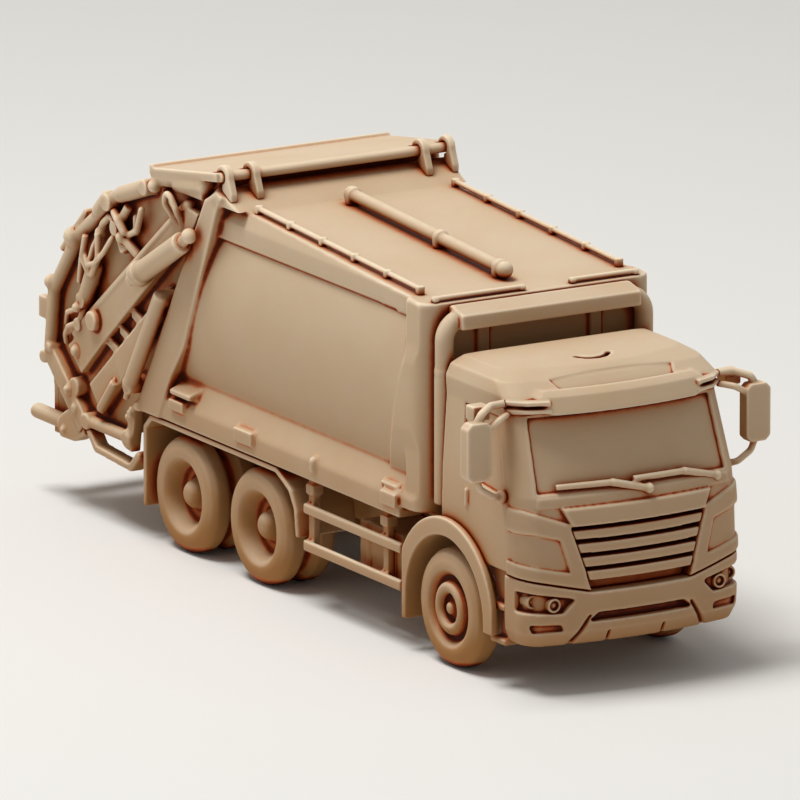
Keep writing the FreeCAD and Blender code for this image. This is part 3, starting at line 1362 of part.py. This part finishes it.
comb_half = arm_outer
tooth_count = 13
tooth_pitch = (2 * comb_half - 1.2) / (tooth_count - 1)
teeth = [
    prism("XZ", [
        (S.comb_x, 18.4), (comb_back, 18.4), (comb_back, 20.0), (S.comb_x + 0.3, 21.4),
        (S.comb_x - 0.5, 21.2),
    ], -comb_half + tooth_pitch * i, -comb_half + tooth_pitch * i + 1.2)
    for i in range(tooth_count)
]
keep("lifter_comb", fused(
    prism("XZ", [
        (S.comb_x, 10.8), (comb_back, 10.8), (comb_back, 18.6), (S.comb_x, 18.6),
    ], -comb_half, comb_half),
    prism("XZ", [
        (S.comb_x - 0.7, 11.6), (S.comb_x, 11.0), (S.comb_x, 13.2), (S.comb_x - 0.7, 13.0),
    ], -comb_half + 2, comb_half - 2),
    *teeth,
))


# ---------------------------------------------------------------------------
# Check and write every sub-part
# ---------------------------------------------------------------------------
doc.recompute()
for item in doc.Objects:
    if "Invalid" in item.State or "Error" in item.State:
        raise RuntimeError(f"{item.Name} ({item.Label}) failed: {item.State}")
os.makedirs("parts", exist_ok=True)
for label, item in nodes.items():
    shape = item.Shape
    if shape.isNull() or not shape.isValid() or not shape.Solids:
        raise RuntimeError(f"{label} has no valid shape")
    shape.exportStep(f"parts/{label}.step")
print(len(nodes), "sub-parts written")
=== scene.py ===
import math

import bmesh
import bpy
import numpy as np
from mathutils import Matrix, Vector


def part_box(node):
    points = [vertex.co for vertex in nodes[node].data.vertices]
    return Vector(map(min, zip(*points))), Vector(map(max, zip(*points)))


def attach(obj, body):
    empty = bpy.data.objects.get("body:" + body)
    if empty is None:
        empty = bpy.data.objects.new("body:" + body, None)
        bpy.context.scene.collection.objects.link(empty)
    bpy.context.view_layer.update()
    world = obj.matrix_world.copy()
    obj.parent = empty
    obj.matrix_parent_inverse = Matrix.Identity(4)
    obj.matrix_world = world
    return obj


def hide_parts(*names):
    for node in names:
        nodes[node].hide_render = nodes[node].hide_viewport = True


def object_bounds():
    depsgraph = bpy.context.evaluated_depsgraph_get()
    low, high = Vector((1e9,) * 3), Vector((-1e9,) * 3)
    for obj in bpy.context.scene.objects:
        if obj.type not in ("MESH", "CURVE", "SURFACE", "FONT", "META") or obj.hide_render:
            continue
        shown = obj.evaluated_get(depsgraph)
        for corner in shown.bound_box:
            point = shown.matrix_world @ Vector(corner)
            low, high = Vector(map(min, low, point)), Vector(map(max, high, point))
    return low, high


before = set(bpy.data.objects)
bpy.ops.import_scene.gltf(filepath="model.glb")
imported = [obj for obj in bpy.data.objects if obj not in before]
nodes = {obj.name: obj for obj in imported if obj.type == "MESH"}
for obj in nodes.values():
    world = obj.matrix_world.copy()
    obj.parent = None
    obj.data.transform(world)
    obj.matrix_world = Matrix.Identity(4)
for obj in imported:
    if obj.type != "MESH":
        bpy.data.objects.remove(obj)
MM = 0.001
cad_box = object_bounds()


# ---------------------------------------------------------------------------
# Chassis: rails, cross members and the three axles, cast in one colour of resin.
# Polyurethane resin poured in a silicone mould comes out tan and dull, and an oily red-brown
# wash is left in every crevice. Painted shade darkens the crevices and gaps between pieces further,
# and the edges get a painted highlight.
# ---------------------------------------------------------------------------
def linear(code):
    """An sRGB hex colour as the linear values that a socket takes."""
    values = [int(code[i:i + 2], 16) / 255 for i in (1, 3, 5)]
    return (*[v / 12.92 if v < 0.04045 else ((v + 0.055) / 1.055) ** 2.4 for v in values], 1.0)


def add(tree, kind, inputs=None, **settings):
    """Adds a shader node with its settings, and its sockets' values or links."""
    node = tree.nodes.new("ShaderNode" + kind)
    for name, value in settings.items():
        setattr(node, name, value)
    for socket, value in (inputs or {}).items():
        if isinstance(value, bpy.types.NodeSocket):
            tree.links.new(value, node.inputs[socket])
        else:
            node.inputs[socket].default_value = value
    return node


RESIN = "#CCB599"
RESIN_DEEP = "#BE9D74"
# Painted highlight: the colour that corners standing out are lightened to.
RESIN_EDGE_HIGHLIGHT = "#EAD8BD"
# Painted shade: the warm dark tint for sheltered faces and for low upright faces.
PAINTED_SHADE_TINT = "#9F7142"
# Wash colours: the darkest one is painted shade in the deepest lines and between pieces, over the
# red-brown wash.
FRINGE = "#C8743C"
WASH = "#9C3C12"
WASH_AND_DEEP_SHADE = "#421405"
RELIEF_REACH = 0.7


def washed_resin_with_painted_light(name, resin=RESIN, crevice=2.4, grain=0.12, roughness=0.58):
    """Dull cast resin with a wash, painted shade and a painted edge highlight: crevice is the reach
    of the wash and the painted crevice shade, and grain the grit's size, in mm.
    """
    material = bpy.data.materials.new(name)
    material.use_nodes = True
    tree = material.node_tree
    tree.nodes.clear()
    spot = add(tree, "TexCoord").outputs
    place = spot["Object"]

    # Slow drift of the resin's colour over about 14 mm, and a fine grain.
    drift = add(tree, "TexNoise", {"Vector": place, "Scale": 1 / (14 * MM), "Detail": 3.0})
    grit = add(tree, "TexNoise", {"Vector": place, "Scale": 1 / (grain * MM), "Detail": 2.0})
    cloudy = add(tree, "MapRange", {
        "Value": drift.outputs["Fac"], "From Min": 0.35, "From Max": 0.75, "To Max": 0.3,
    })
    body = add(tree, "MixRGB", {
        "Fac": cloudy.outputs["Result"], "Color1": linear(resin), "Color2": linear(RESIN_DEEP),
    })

    # The relief of a casting, in mm: corners that stand out get a painted highlight, paler than the
    # resin.
    relief = add(tree, "Attribute", attribute_name="relief").outputs["Fac"]
    painted_edge_highlight = add(tree, "MapRange", {
        "Value": relief, "From Min": -0.05, "From Max": -0.26, "To Max": 0.9,
    })
    edge_highlighted = add(tree, "MixRGB", {
        "Fac": painted_edge_highlight.outputs["Result"], "Color1": body.outputs["Color"],
        "Color2": linear(RESIN_EDGE_HIGHLIGHT),
    })

    # Painted shade: a warm darker tint on faces that something large shelters, and on upright ones
    # low down, so that the sides and the lower parts read darker than the tops.
    broad = add(tree, "AmbientOcclusion", {"Distance": 11 * MM}, samples=6)
    sheltered_shade = add(tree, "MapRange", {
        "Value": broad.outputs["AO"], "From Min": 0.35, "From Max": 0.98,
        "To Min": 0.85, "To Max": 0.0,
    })
    # Upright faces take the painted shade, and flat tops take none.
    upright = add(tree, "MapRange", {
        "Value": add(tree, "SeparateXYZ", {"Vector": spot["Normal"]}).outputs["Z"],
        "From Min": 0.75, "From Max": 0.1,
    })
    # The painted shade grows stronger towards the bottom of the model.
    low = add(tree, "MapRange", {
        "Value": add(tree, "SeparateXYZ", {"Vector": place}).outputs["Z"],
        "From Min": 58 * MM, "From Max": 4 * MM, "To Max": 0.75,
    })
    both = add(tree, "Math", {
        0: low.outputs["Result"], 1: upright.outputs["Result"], 2: sheltered_shade.outputs["Result"],
    }, operation="MULTIPLY_ADD", use_clamp=True)
    shade_painted = add(tree, "MixRGB", {
        "Fac": both.outputs["Value"], "Color1": edge_highlighted.outputs["Color"],
        "Color2": linear(PAINTED_SHADE_TINT),
    })

    # Wash and painted shade: the red-brown wash lies in hollows, and painted shade darkens them and
    # wherever two pieces shelter each other.
    open_side = add(tree, "AmbientOcclusion", {"Distance": crevice * MM}, samples=8)
    blot = add(tree, "TexNoise", {"Vector": place, "Scale": 1 / (1.6 * MM), "Detail": 3.0})
    hollow = add(tree, "MapRange", {
        "Value": relief, "From Min": 0.03, "From Max": 0.22, "To Max": 0.6,
    })
    shelter = add(tree, "Math", {
        0: open_side.outputs["AO"], 1: hollow.outputs["Result"],
    }, operation="SUBTRACT")
    uneven = add(tree, "MapRange", {
        "Value": blot.outputs["Fac"], "To Min": -0.07, "To Max": 0.07,
    })
    depth = add(tree, "Math", {
        0: shelter.outputs["Value"], 1: uneven.outputs["Result"],
    }, operation="ADD")

    # Painted shade nearly black in the deepest lines, the red-brown wash further out, an orange
    # fringe, then gone.
    wash_and_shade = add(tree, "ValToRGB", {"Fac": depth.outputs["Value"]})
    ramp = wash_and_shade.color_ramp
    ramp.elements[0].position = 0.24
    ramp.elements[0].color = linear(WASH_AND_DEEP_SHADE)
    ramp.elements[1].position = 0.56
    ramp.elements[1].color = linear(WASH)
    ramp.elements.new(0.76).color = linear(FRINGE)
    left = add(tree, "MapRange", {
        "Value": depth.outputs["Value"], "From Min": 0.56, "From Max": 0.87,
        "To Min": 1.0, "To Max": 0.0,
    }, interpolation_type="SMOOTHSTEP")
    colour = add(tree, "MixRGB", {
        "Fac": left.outputs["Result"], "Color1": shade_painted.outputs["Color"],
        "Color2": wash_and_shade.outputs["Color"],
    })
    bump = add(tree, "Bump", {
        "Height": grit.outputs["Fac"], "Distance": 0.012 * MM, "Strength": 0.6,
    })
    sheen = add(tree, "MapRange", {
        "Value": grit.outputs["Fac"], "To Min": roughness - 0.06, "To Max": roughness + 0.08,
    })
    shader = add(tree, "BsdfPrincipled", {
        "Base Color": colour.outputs["Color"], "Roughness": sheen.outputs["Result"],
        "IOR": 1.5, "Specular IOR Level": 0.08, "Normal": bump.outputs["Normal"],
        "Subsurface Weight": 0.3, "Subsurface Radius": (1.0, 0.36, 0.16),
        "Subsurface Scale": 0.8 * MM,
    })
    add(tree, "OutputMaterial", {"Surface": shader.outputs["BSDF"]})
    return material


def settled(points, edges, rounds):
    """Points drawn half-way to the mean of their neighbours, that many times over."""
    first, second = edges.T
    count = np.bincount(edges.ravel(), minlength=len(points))
    for _ in range(rounds):
        total = np.stack([
            np.bincount(first, points[second, axis], len(points))
            + np.bincount(second, points[first, axis], len(points)) for axis in range(3)
        ], axis=1)
        points = (points + total / count[:, None]) / 2
    return points


def bar(solid, spots, radius):
    """Adds a round bar through spots to a mesh, with a ball at each of them."""
    for spot in spots:
        bmesh.ops.create_icosphere(
            solid, subdivisions=2, radius=radius, matrix=Matrix.Translation(spot))
    for start, end in zip(spots, spots[1:]):
        way = end - start
        turn = way.to_track_quat("Z", "Y").to_matrix().to_4x4()
        bmesh.ops.create_cone(
            solid, segments=16, radius1=radius, radius2=radius, depth=way.length,
            cap_ends=True, matrix=Matrix.Translation((start + end) / 2) @ turn)


def cast(material, body, voxel, *groups, soften=0.35, keep=0.3, bars=(), drawn=None):
    """Copies CAD pieces as they leave the mould, with corners softened over some mm.

    A group of names is one casting, and bars are cast with it. Each point keeps as its
    relief how far the surface lies under (above, if negative) its own mean near there.
    drawn is a function that moves the points of the raw casting to a new form.
    """
    for group in groups:
        names = [group] if isinstance(group, str) else group
        solid = bmesh.new()
        for name in names:
            solid.from_mesh(nodes[name].data)
        for spots, radius in bars:
            bar(solid, spots, radius)
        raw = bpy.data.meshes.new(names[0])
        solid.to_mesh(raw)
        piece = bpy.data.objects.new(names[0] + "_casting", raw)
        bpy.context.scene.collection.objects.link(piece)
        for form in (drawn, None) if drawn else (None,):
            skin = piece.modifiers.new("skin", "REMESH")
            skin.mode = "VOXEL"
            skin.voxel_size = voxel * MM
            skin.use_smooth_shade = True
            shape = applied(piece)
            if form:
                points = np.empty(len(shape.vertices) * 3)
                shape.vertices.foreach_get("co", points)
                shape.vertices.foreach_set("co", form(points.reshape(-1, 3)).ravel())
                piece.data = shape
        points = np.empty(len(shape.vertices) * 3)
        normals = np.empty(len(shape.vertices) * 3)
        edges = np.empty(len(shape.edges) * 2, dtype=np.int64)
        shape.vertices.foreach_get("co", points)
        shape.vertices.foreach_get("normal", normals)
        shape.edges.foreach_get("vertices", edges)
        points, normals, edges = points.reshape(-1, 3), normals.reshape(-1, 3), edges.reshape(-1, 2)
        rounds = [max(2, round(4 * (reach / voxel) ** 2)) for reach in (soften, RELIEF_REACH)]
        soft = settled(points, edges, rounds[0])
        mean = settled(soft, edges, max(1, rounds[1] - rounds[0]))
        relief = ((mean - points) * normals).sum(axis=1) / MM
        shape.vertices.foreach_set("co", soft.ravel())
        shape.attributes.new("relief", "FLOAT", "POINT").data.foreach_set("value", relief)
        piece.data = shape
        lean = piece.modifiers.new("lean", "DECIMATE")
        lean.ratio = keep
        piece.data = applied(piece)
        piece.data.materials.clear()
        piece.data.materials.append(material)
        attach(piece, body)
        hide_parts(*names)


def applied(piece):
    """The mesh of a piece after its modifiers, which are then taken off."""
    graph = bpy.context.evaluated_depsgraph_get()
    shape = bpy.data.meshes.new_from_object(piece.evaluated_get(graph))
    piece.modifiers.clear()
    return shape


def finish_in(material, *names):
    """Gives CAD nodes their finish."""
    for name in names:
        nodes[name].data.materials.clear()
        nodes[name].data.materials.append(material)


def sides(stem):
    """The names of a left-hand and a right-hand node."""
    return stem + "_left", stem + "_right"


# The chassis resin is darker than the body's tan: painted shade for the chassis, which sits low
# under the body.
chassis_resin = washed_resin_with_painted_light("chassis_cast_resin", resin="#BE9C76")
cast(chassis_resin, "chassis", 0.4, "chassis_frame", "subframe")
finish_in(chassis_resin, "mid_axle", "rear_axle", "front_axle", *sides("knuckle"))


# ---------------------------------------------------------------------------
# Wheels: tyre, rim and hub cast together. The tyres have no tread; a matter
# grain than the panels tells the rubber from the sheet metal.
# ---------------------------------------------------------------------------
tyre_resin = washed_resin_with_painted_light("tyre_cast_resin", roughness=0.66, grain=0.18)
for axle in ("front", "mid", "rear"):
    for side in ("left", "right"):
        cast(tyre_resin, f"{axle}_roller_{side}", 0.25, f"{axle}_wheel_{side}")


# ---------------------------------------------------------------------------
# Cab: one solid casting with its windows sunk in, smooth because the master was polished,
# with the wash and painted shade in its shut lines and hollows.
# ---------------------------------------------------------------------------
cab_resin = washed_resin_with_painted_light("cab_cast_resin", roughness=0.54)
cast(cab_resin, "chassis", 0.16, ["cab", "sun_visor", "bonnet_lip", *sides("corner_panel")],
     keep=0.2)
bumper_resin = washed_resin_with_painted_light("bumper_cast_resin", crevice=1.5, roughness=0.54)
cast(bumper_resin, "chassis", 0.18, "front_bumper", *sides("front_arch"))
cast(cab_resin, "chassis", 0.13, "grille", "wipers", *sides("mirror"), soften=0.25)
lamp_resin = washed_resin_with_painted_light("lamp_cast_resin", crevice=0.8, roughness=0.5)
cast(lamp_resin, "chassis", 0.1, "headlamps", soften=0.15)
cast(cab_resin, "chassis", 0.25, "cab_steps")


# ---------------------------------------------------------------------------
# Refuse body: the bulged barrel with its frames, rails and sills, which are cast with
# it. It sits on the chassis, and its smooth sides get the least wash and painted shade.
# ---------------------------------------------------------------------------
barrel_resin = washed_resin_with_painted_light("barrel_cast_resin", roughness=0.56)
knob_radius = 1.1
post_knobs = [
    ([Vector((-44.0, way * 23.4, 23.7)) * MM], knob_radius * MM) for way in (-1, 1)
]


def lean_collar(points):
    """Lays the front collar on the barrel's curve, with a rear edge that leans forward.

    Lengths are in mm. The collar is a thin plate on the bulge, and stands up from the
    sill's bevel below to the roof beam above, with a post and a round corner in front.
    """
    x, y, z = points.T / MM
    out = np.abs(y)
    bulge_out, bulge_z, bulge_radius = 22.9, 44.5, 48.9
    beam_out, beam_z = 21.6, 58.0
    bulge = np.where(z > beam_z, beam_out, bulge_out - (z - bulge_z) ** 2 / 2 / bulge_radius)

    sill_out, bevel_z, bevel_rise, bevel_in = 23.2, 26.4, 4.6, 2.15
    sill = np.clip(sill_out - (z - bevel_z) * bevel_in / bevel_rise, 0, sill_out)

    foot_x, foot_z, lean, bow, plate_thickness = 36.4, 30.0, 8.8, 1.0, 0.45
    rise = np.clip((z - foot_z) / (beam_z - foot_z), 0, 1)
    edge = foot_x + lean * rise + bow * 4 * rise * (1 - rise)
    plate = np.clip((x - edge) / 0.3, 0, 1) * plate_thickness * (z < beam_z)

    corner_x, corner_radius, collar_out = 46.5, 3.5, 23.0
    turn = np.clip(x - corner_x, 0, corner_radius)
    corner = collar_out - corner_radius + np.sqrt(corner_radius ** 2 - turn ** 2)
    post = np.where(x > 44.0, 22.5, 0.0)
    form = np.minimum(np.maximum(np.maximum(bulge + plate, sill), post), corner)

    # Only the skin between the sill and the roof moves, and what stands on it stays.
    share = np.clip((z - bevel_z) / 0.5, 0, 1) * np.clip(62.0 - z, 0, 1)
    skin = (out > np.minimum(bulge, corner) - 0.4) & (out < collar_out + 0.12)
    share *= (x > 34.0) & (x < 50.3) & skin
    drawn = points.copy()
    drawn[:, 1] += np.sign(y) * share * (form - out) * MM
    return drawn


cast(barrel_resin, "chassis", 0.25, ["refuse_body", "rear_portal", *sides("sill")],
     keep=0.15, bars=post_knobs, drawn=lean_collar)
cast(barrel_resin, "chassis", 0.22, "header_frame", *sides("rear_mudguard"),
     *sides("side_guard"), *sides("tank"), "roof_pipe", soften=0.3)
cast(barrel_resin, "chassis", 0.16, "hinge_lugs", "roof_rails", soften=0.2)


# ---------------------------------------------------------------------------
# Tailgate and bin lifter: plates under a crowd of gear, where the wash and painted shade pool.
# Each flank has hoses, levers, claws and knobs cast with its gear, given here as
# their radius and then x, distance out from the side plate, and z, all in mm.
# ---------------------------------------------------------------------------
HEAVY_GEAR = [
    (1.30, (-31.2, 1.5, 65.2), (-22.6, 1.5, 66.5)), (1.45, (-38.4, 1.2, 65.2), (-22.5, 1.2, 67.2)),
    (1.30, (-38.0, 2.4, 63.9)), (0.70, (-37.0, 0.6, 62.8), (-34.0, 0.8, 60.2)),
    (0.90, (-33.8, 1.5, 60.4)), (1.15, (-28.4, 0.95, 62.5), (-67.2, 0.95, 31.7)),
    (1.35, (-55.3, 1.6, 58.3), (-58.6, 1.6, 55.2)), (1.90, (-66.8, 2.0, 49.0)),
    (1.45, (-75.2, 1.6, 39.2)), (0.90, (-68.4, 2.4, 21.4)),
    (0.80, (-48.9, 1.4, 20.6)),
]
FINE_GEAR = [
    (0.50, (-62.7, 1.8, 49.4), (-62.2, 2.4, 47.0), (-60.4, 2.9, 45.3), (-57.9, 2.9, 46.2),
     (-55.2, 2.7, 48.6), (-53.6, 2.2, 51.0), (-53.0, 1.2, 52.6)),
    (0.60, (-57.8, 1.6, 51.6), (-59.4, 2.2, 48.7), (-60.6, 2.4, 45.6)),
    (1.05, (-57.8, 1.8, 51.6)),
    (0.75, (-52.9, 1.8, 56.2), (-50.8, 2.4, 55.4), (-49.3, 2.0, 53.4)),
    (0.60, (-42.8, 2.2, 58.7), (-45.4, 1.6, 54.4), (-49.6, 1.2, 52.5)),
    (0.65, (-47.0, 0.8, 56.3), (-46.6, 1.0, 53.8)),
    (0.90, (-50.0, 1.6, 52.2), (-46.4, 0.8, 49.8)), (1.10, (-50.2, 2.0, 52.3)),
    (0.55, (-66.2, 1.6, 36.2), (-69.2, 1.8, 35.0), (-72.2, 0.3, 32.2)),
    (0.55, (-65.1, 1.8, 34.1), (-68.6, 2.1, 32.6), (-70.4, 1.6, 30.8), (-71.6, 0.7, 29.0)),
    (0.95, (-64.2, 2.9, 37.0)),
]
flank_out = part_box("guide_beam_left")[0][1] / MM


def on_flanks(gear, ways=(-1, 1)):
    """Bars of the gear in place on the right-hand flank (-1) and the left-hand one (1)."""
    return [
        ([Vector((x, way * (flank_out + out), z)) * MM for x, out, z in spots], radius * MM)
        for radius, *spots in gear for way in ways
    ]


gear_resin = washed_resin_with_painted_light("gear_cast_resin", roughness=0.6)
cast(gear_resin, "tailgate", 0.22, [
    "tailgate_shell", "tailgate_hood", *sides("guide_beam"), *sides("gate_frame"),
    *sides("packing_cylinder"), *sides("sweep_gear"),
], soften=0.28, keep=0.16, bars=on_flanks(HEAVY_GEAR))
cast(gear_resin, "tailgate", 0.14, "valve_gear_right", soften=0.18, bars=on_flanks(FINE_GEAR, [-1]))
cast(gear_resin, "tailgate", 0.14, "valve_gear_left", soften=0.18, bars=on_flanks(FINE_GEAR, [1]))
cast(gear_resin, "tailgate", 0.25, "gate_steps", soften=0.3)
cast(gear_resin, "tailgate", 0.4, "packer_blade")
cast(gear_resin, "bin_lifter", 0.2, "bin_lifter", "lifter_comb", soften=0.25)


# ---------------------------------------------------------------------------
# Floor, light and camera: a pale sweep, one soft key high above the right-hand
# side, and even light all round.
# ---------------------------------------------------------------------------
low, high = Vector(cad_box[0]), Vector(cad_box[1])
size = (high - low).length
paper = bpy.data.materials.new("pale_paper_sweep")
paper.use_nodes = True
tree = paper.node_tree
tree.nodes.clear()
fibres = add(tree, "TexNoise", {
    "Vector": add(tree, "TexCoord").outputs["Object"], "Scale": 1 / (0.8 * MM), "Detail": 2.0,
})
matt = add(tree, "BsdfPrincipled", {
    "Base Color": linear("#E4E2DE"), "Roughness": 0.9,
    "Normal": add(tree, "Bump", {
        "Height": fibres.outputs["Fac"], "Distance": 0.02 * MM, "Strength": 0.2,
    }).outputs["Normal"],
})
add(tree, "OutputMaterial", {"Surface": matt.outputs["BSDF"]})
reach = 24 * size
sweep_mesh = bpy.data.meshes.new("floor")
sweep_mesh.from_pydata(
    [(x, y, low.z) for x, y in ((-reach, -reach), (reach, -reach), (reach, reach), (-reach, reach))],
    [], [(0, 1, 2, 3)])
floor = bpy.data.objects.new("floor", sweep_mesh)
floor.data.materials.append(paper)
bpy.context.scene.collection.objects.link(floor)

world = bpy.data.worlds.new("studio")
bpy.context.scene.world = world
world.use_nodes = True
world.node_tree.nodes.clear()
air = add(world.node_tree, "Background", {"Color": linear("#F2F1EE"), "Strength": 0.38})
backdrop = add(world.node_tree, "Background", {"Color": linear("#ECEAE6"), "Strength": 1.0})
seen = add(world.node_tree, "LightPath")
mirrored = add(world.node_tree, "Math", {
    0: seen.outputs["Is Glossy Ray"], 1: seen.outputs["Is Transmission Ray"],
}, operation="MAXIMUM")
shown = add(world.node_tree, "Math", {
    0: seen.outputs["Is Camera Ray"], 1: mirrored.outputs["Value"],
}, operation="MAXIMUM")
both_skies = add(world.node_tree, "MixShader", {
    "Fac": shown.outputs["Value"], 1: air.outputs["Background"],
    2: backdrop.outputs["Background"],
})
add(world.node_tree, "OutputWorld", {"Surface": both_skies.outputs["Shader"]})

# The key is a square soft box that looks at the middle of the model.
soft_box = bpy.data.lights.new("key", "AREA")
soft_box.size = size * 2.0
soft_box.energy = 8.3
key = bpy.data.objects.new("key", soft_box)
key_way = Vector((-0.10, -0.26, 0.96)).normalized()
key.location = Vector((0, 0, size * 0.2)) + key_way * size * 5
key.rotation_euler = key_way.to_track_quat("Z", "Y").to_euler()
bpy.context.scene.collection.objects.link(key)

target = Vector((4.6 * MM, 0, 32.21 * MM))
azimuth, rise, distance = math.radians(59.22), math.radians(14.08), 3.0
eye = bpy.data.cameras.new("camera")
eye.sensor_width = 36
eye.lens = 791.6
eye.clip_end = 50
camera = bpy.data.objects.new("camera", eye)
way = Vector((
    math.sin(azimuth) * math.cos(rise), -math.cos(azimuth) * math.cos(rise), math.sin(rise)))
camera.location = target + way * distance
camera.rotation_euler = way.to_track_quat("Z", "Y").to_euler()
bpy.context.scene.collection.objects.link(camera)
bpy.context.scene.camera = camera
bpy.context.scene.view_settings.view_transform = "Standard"
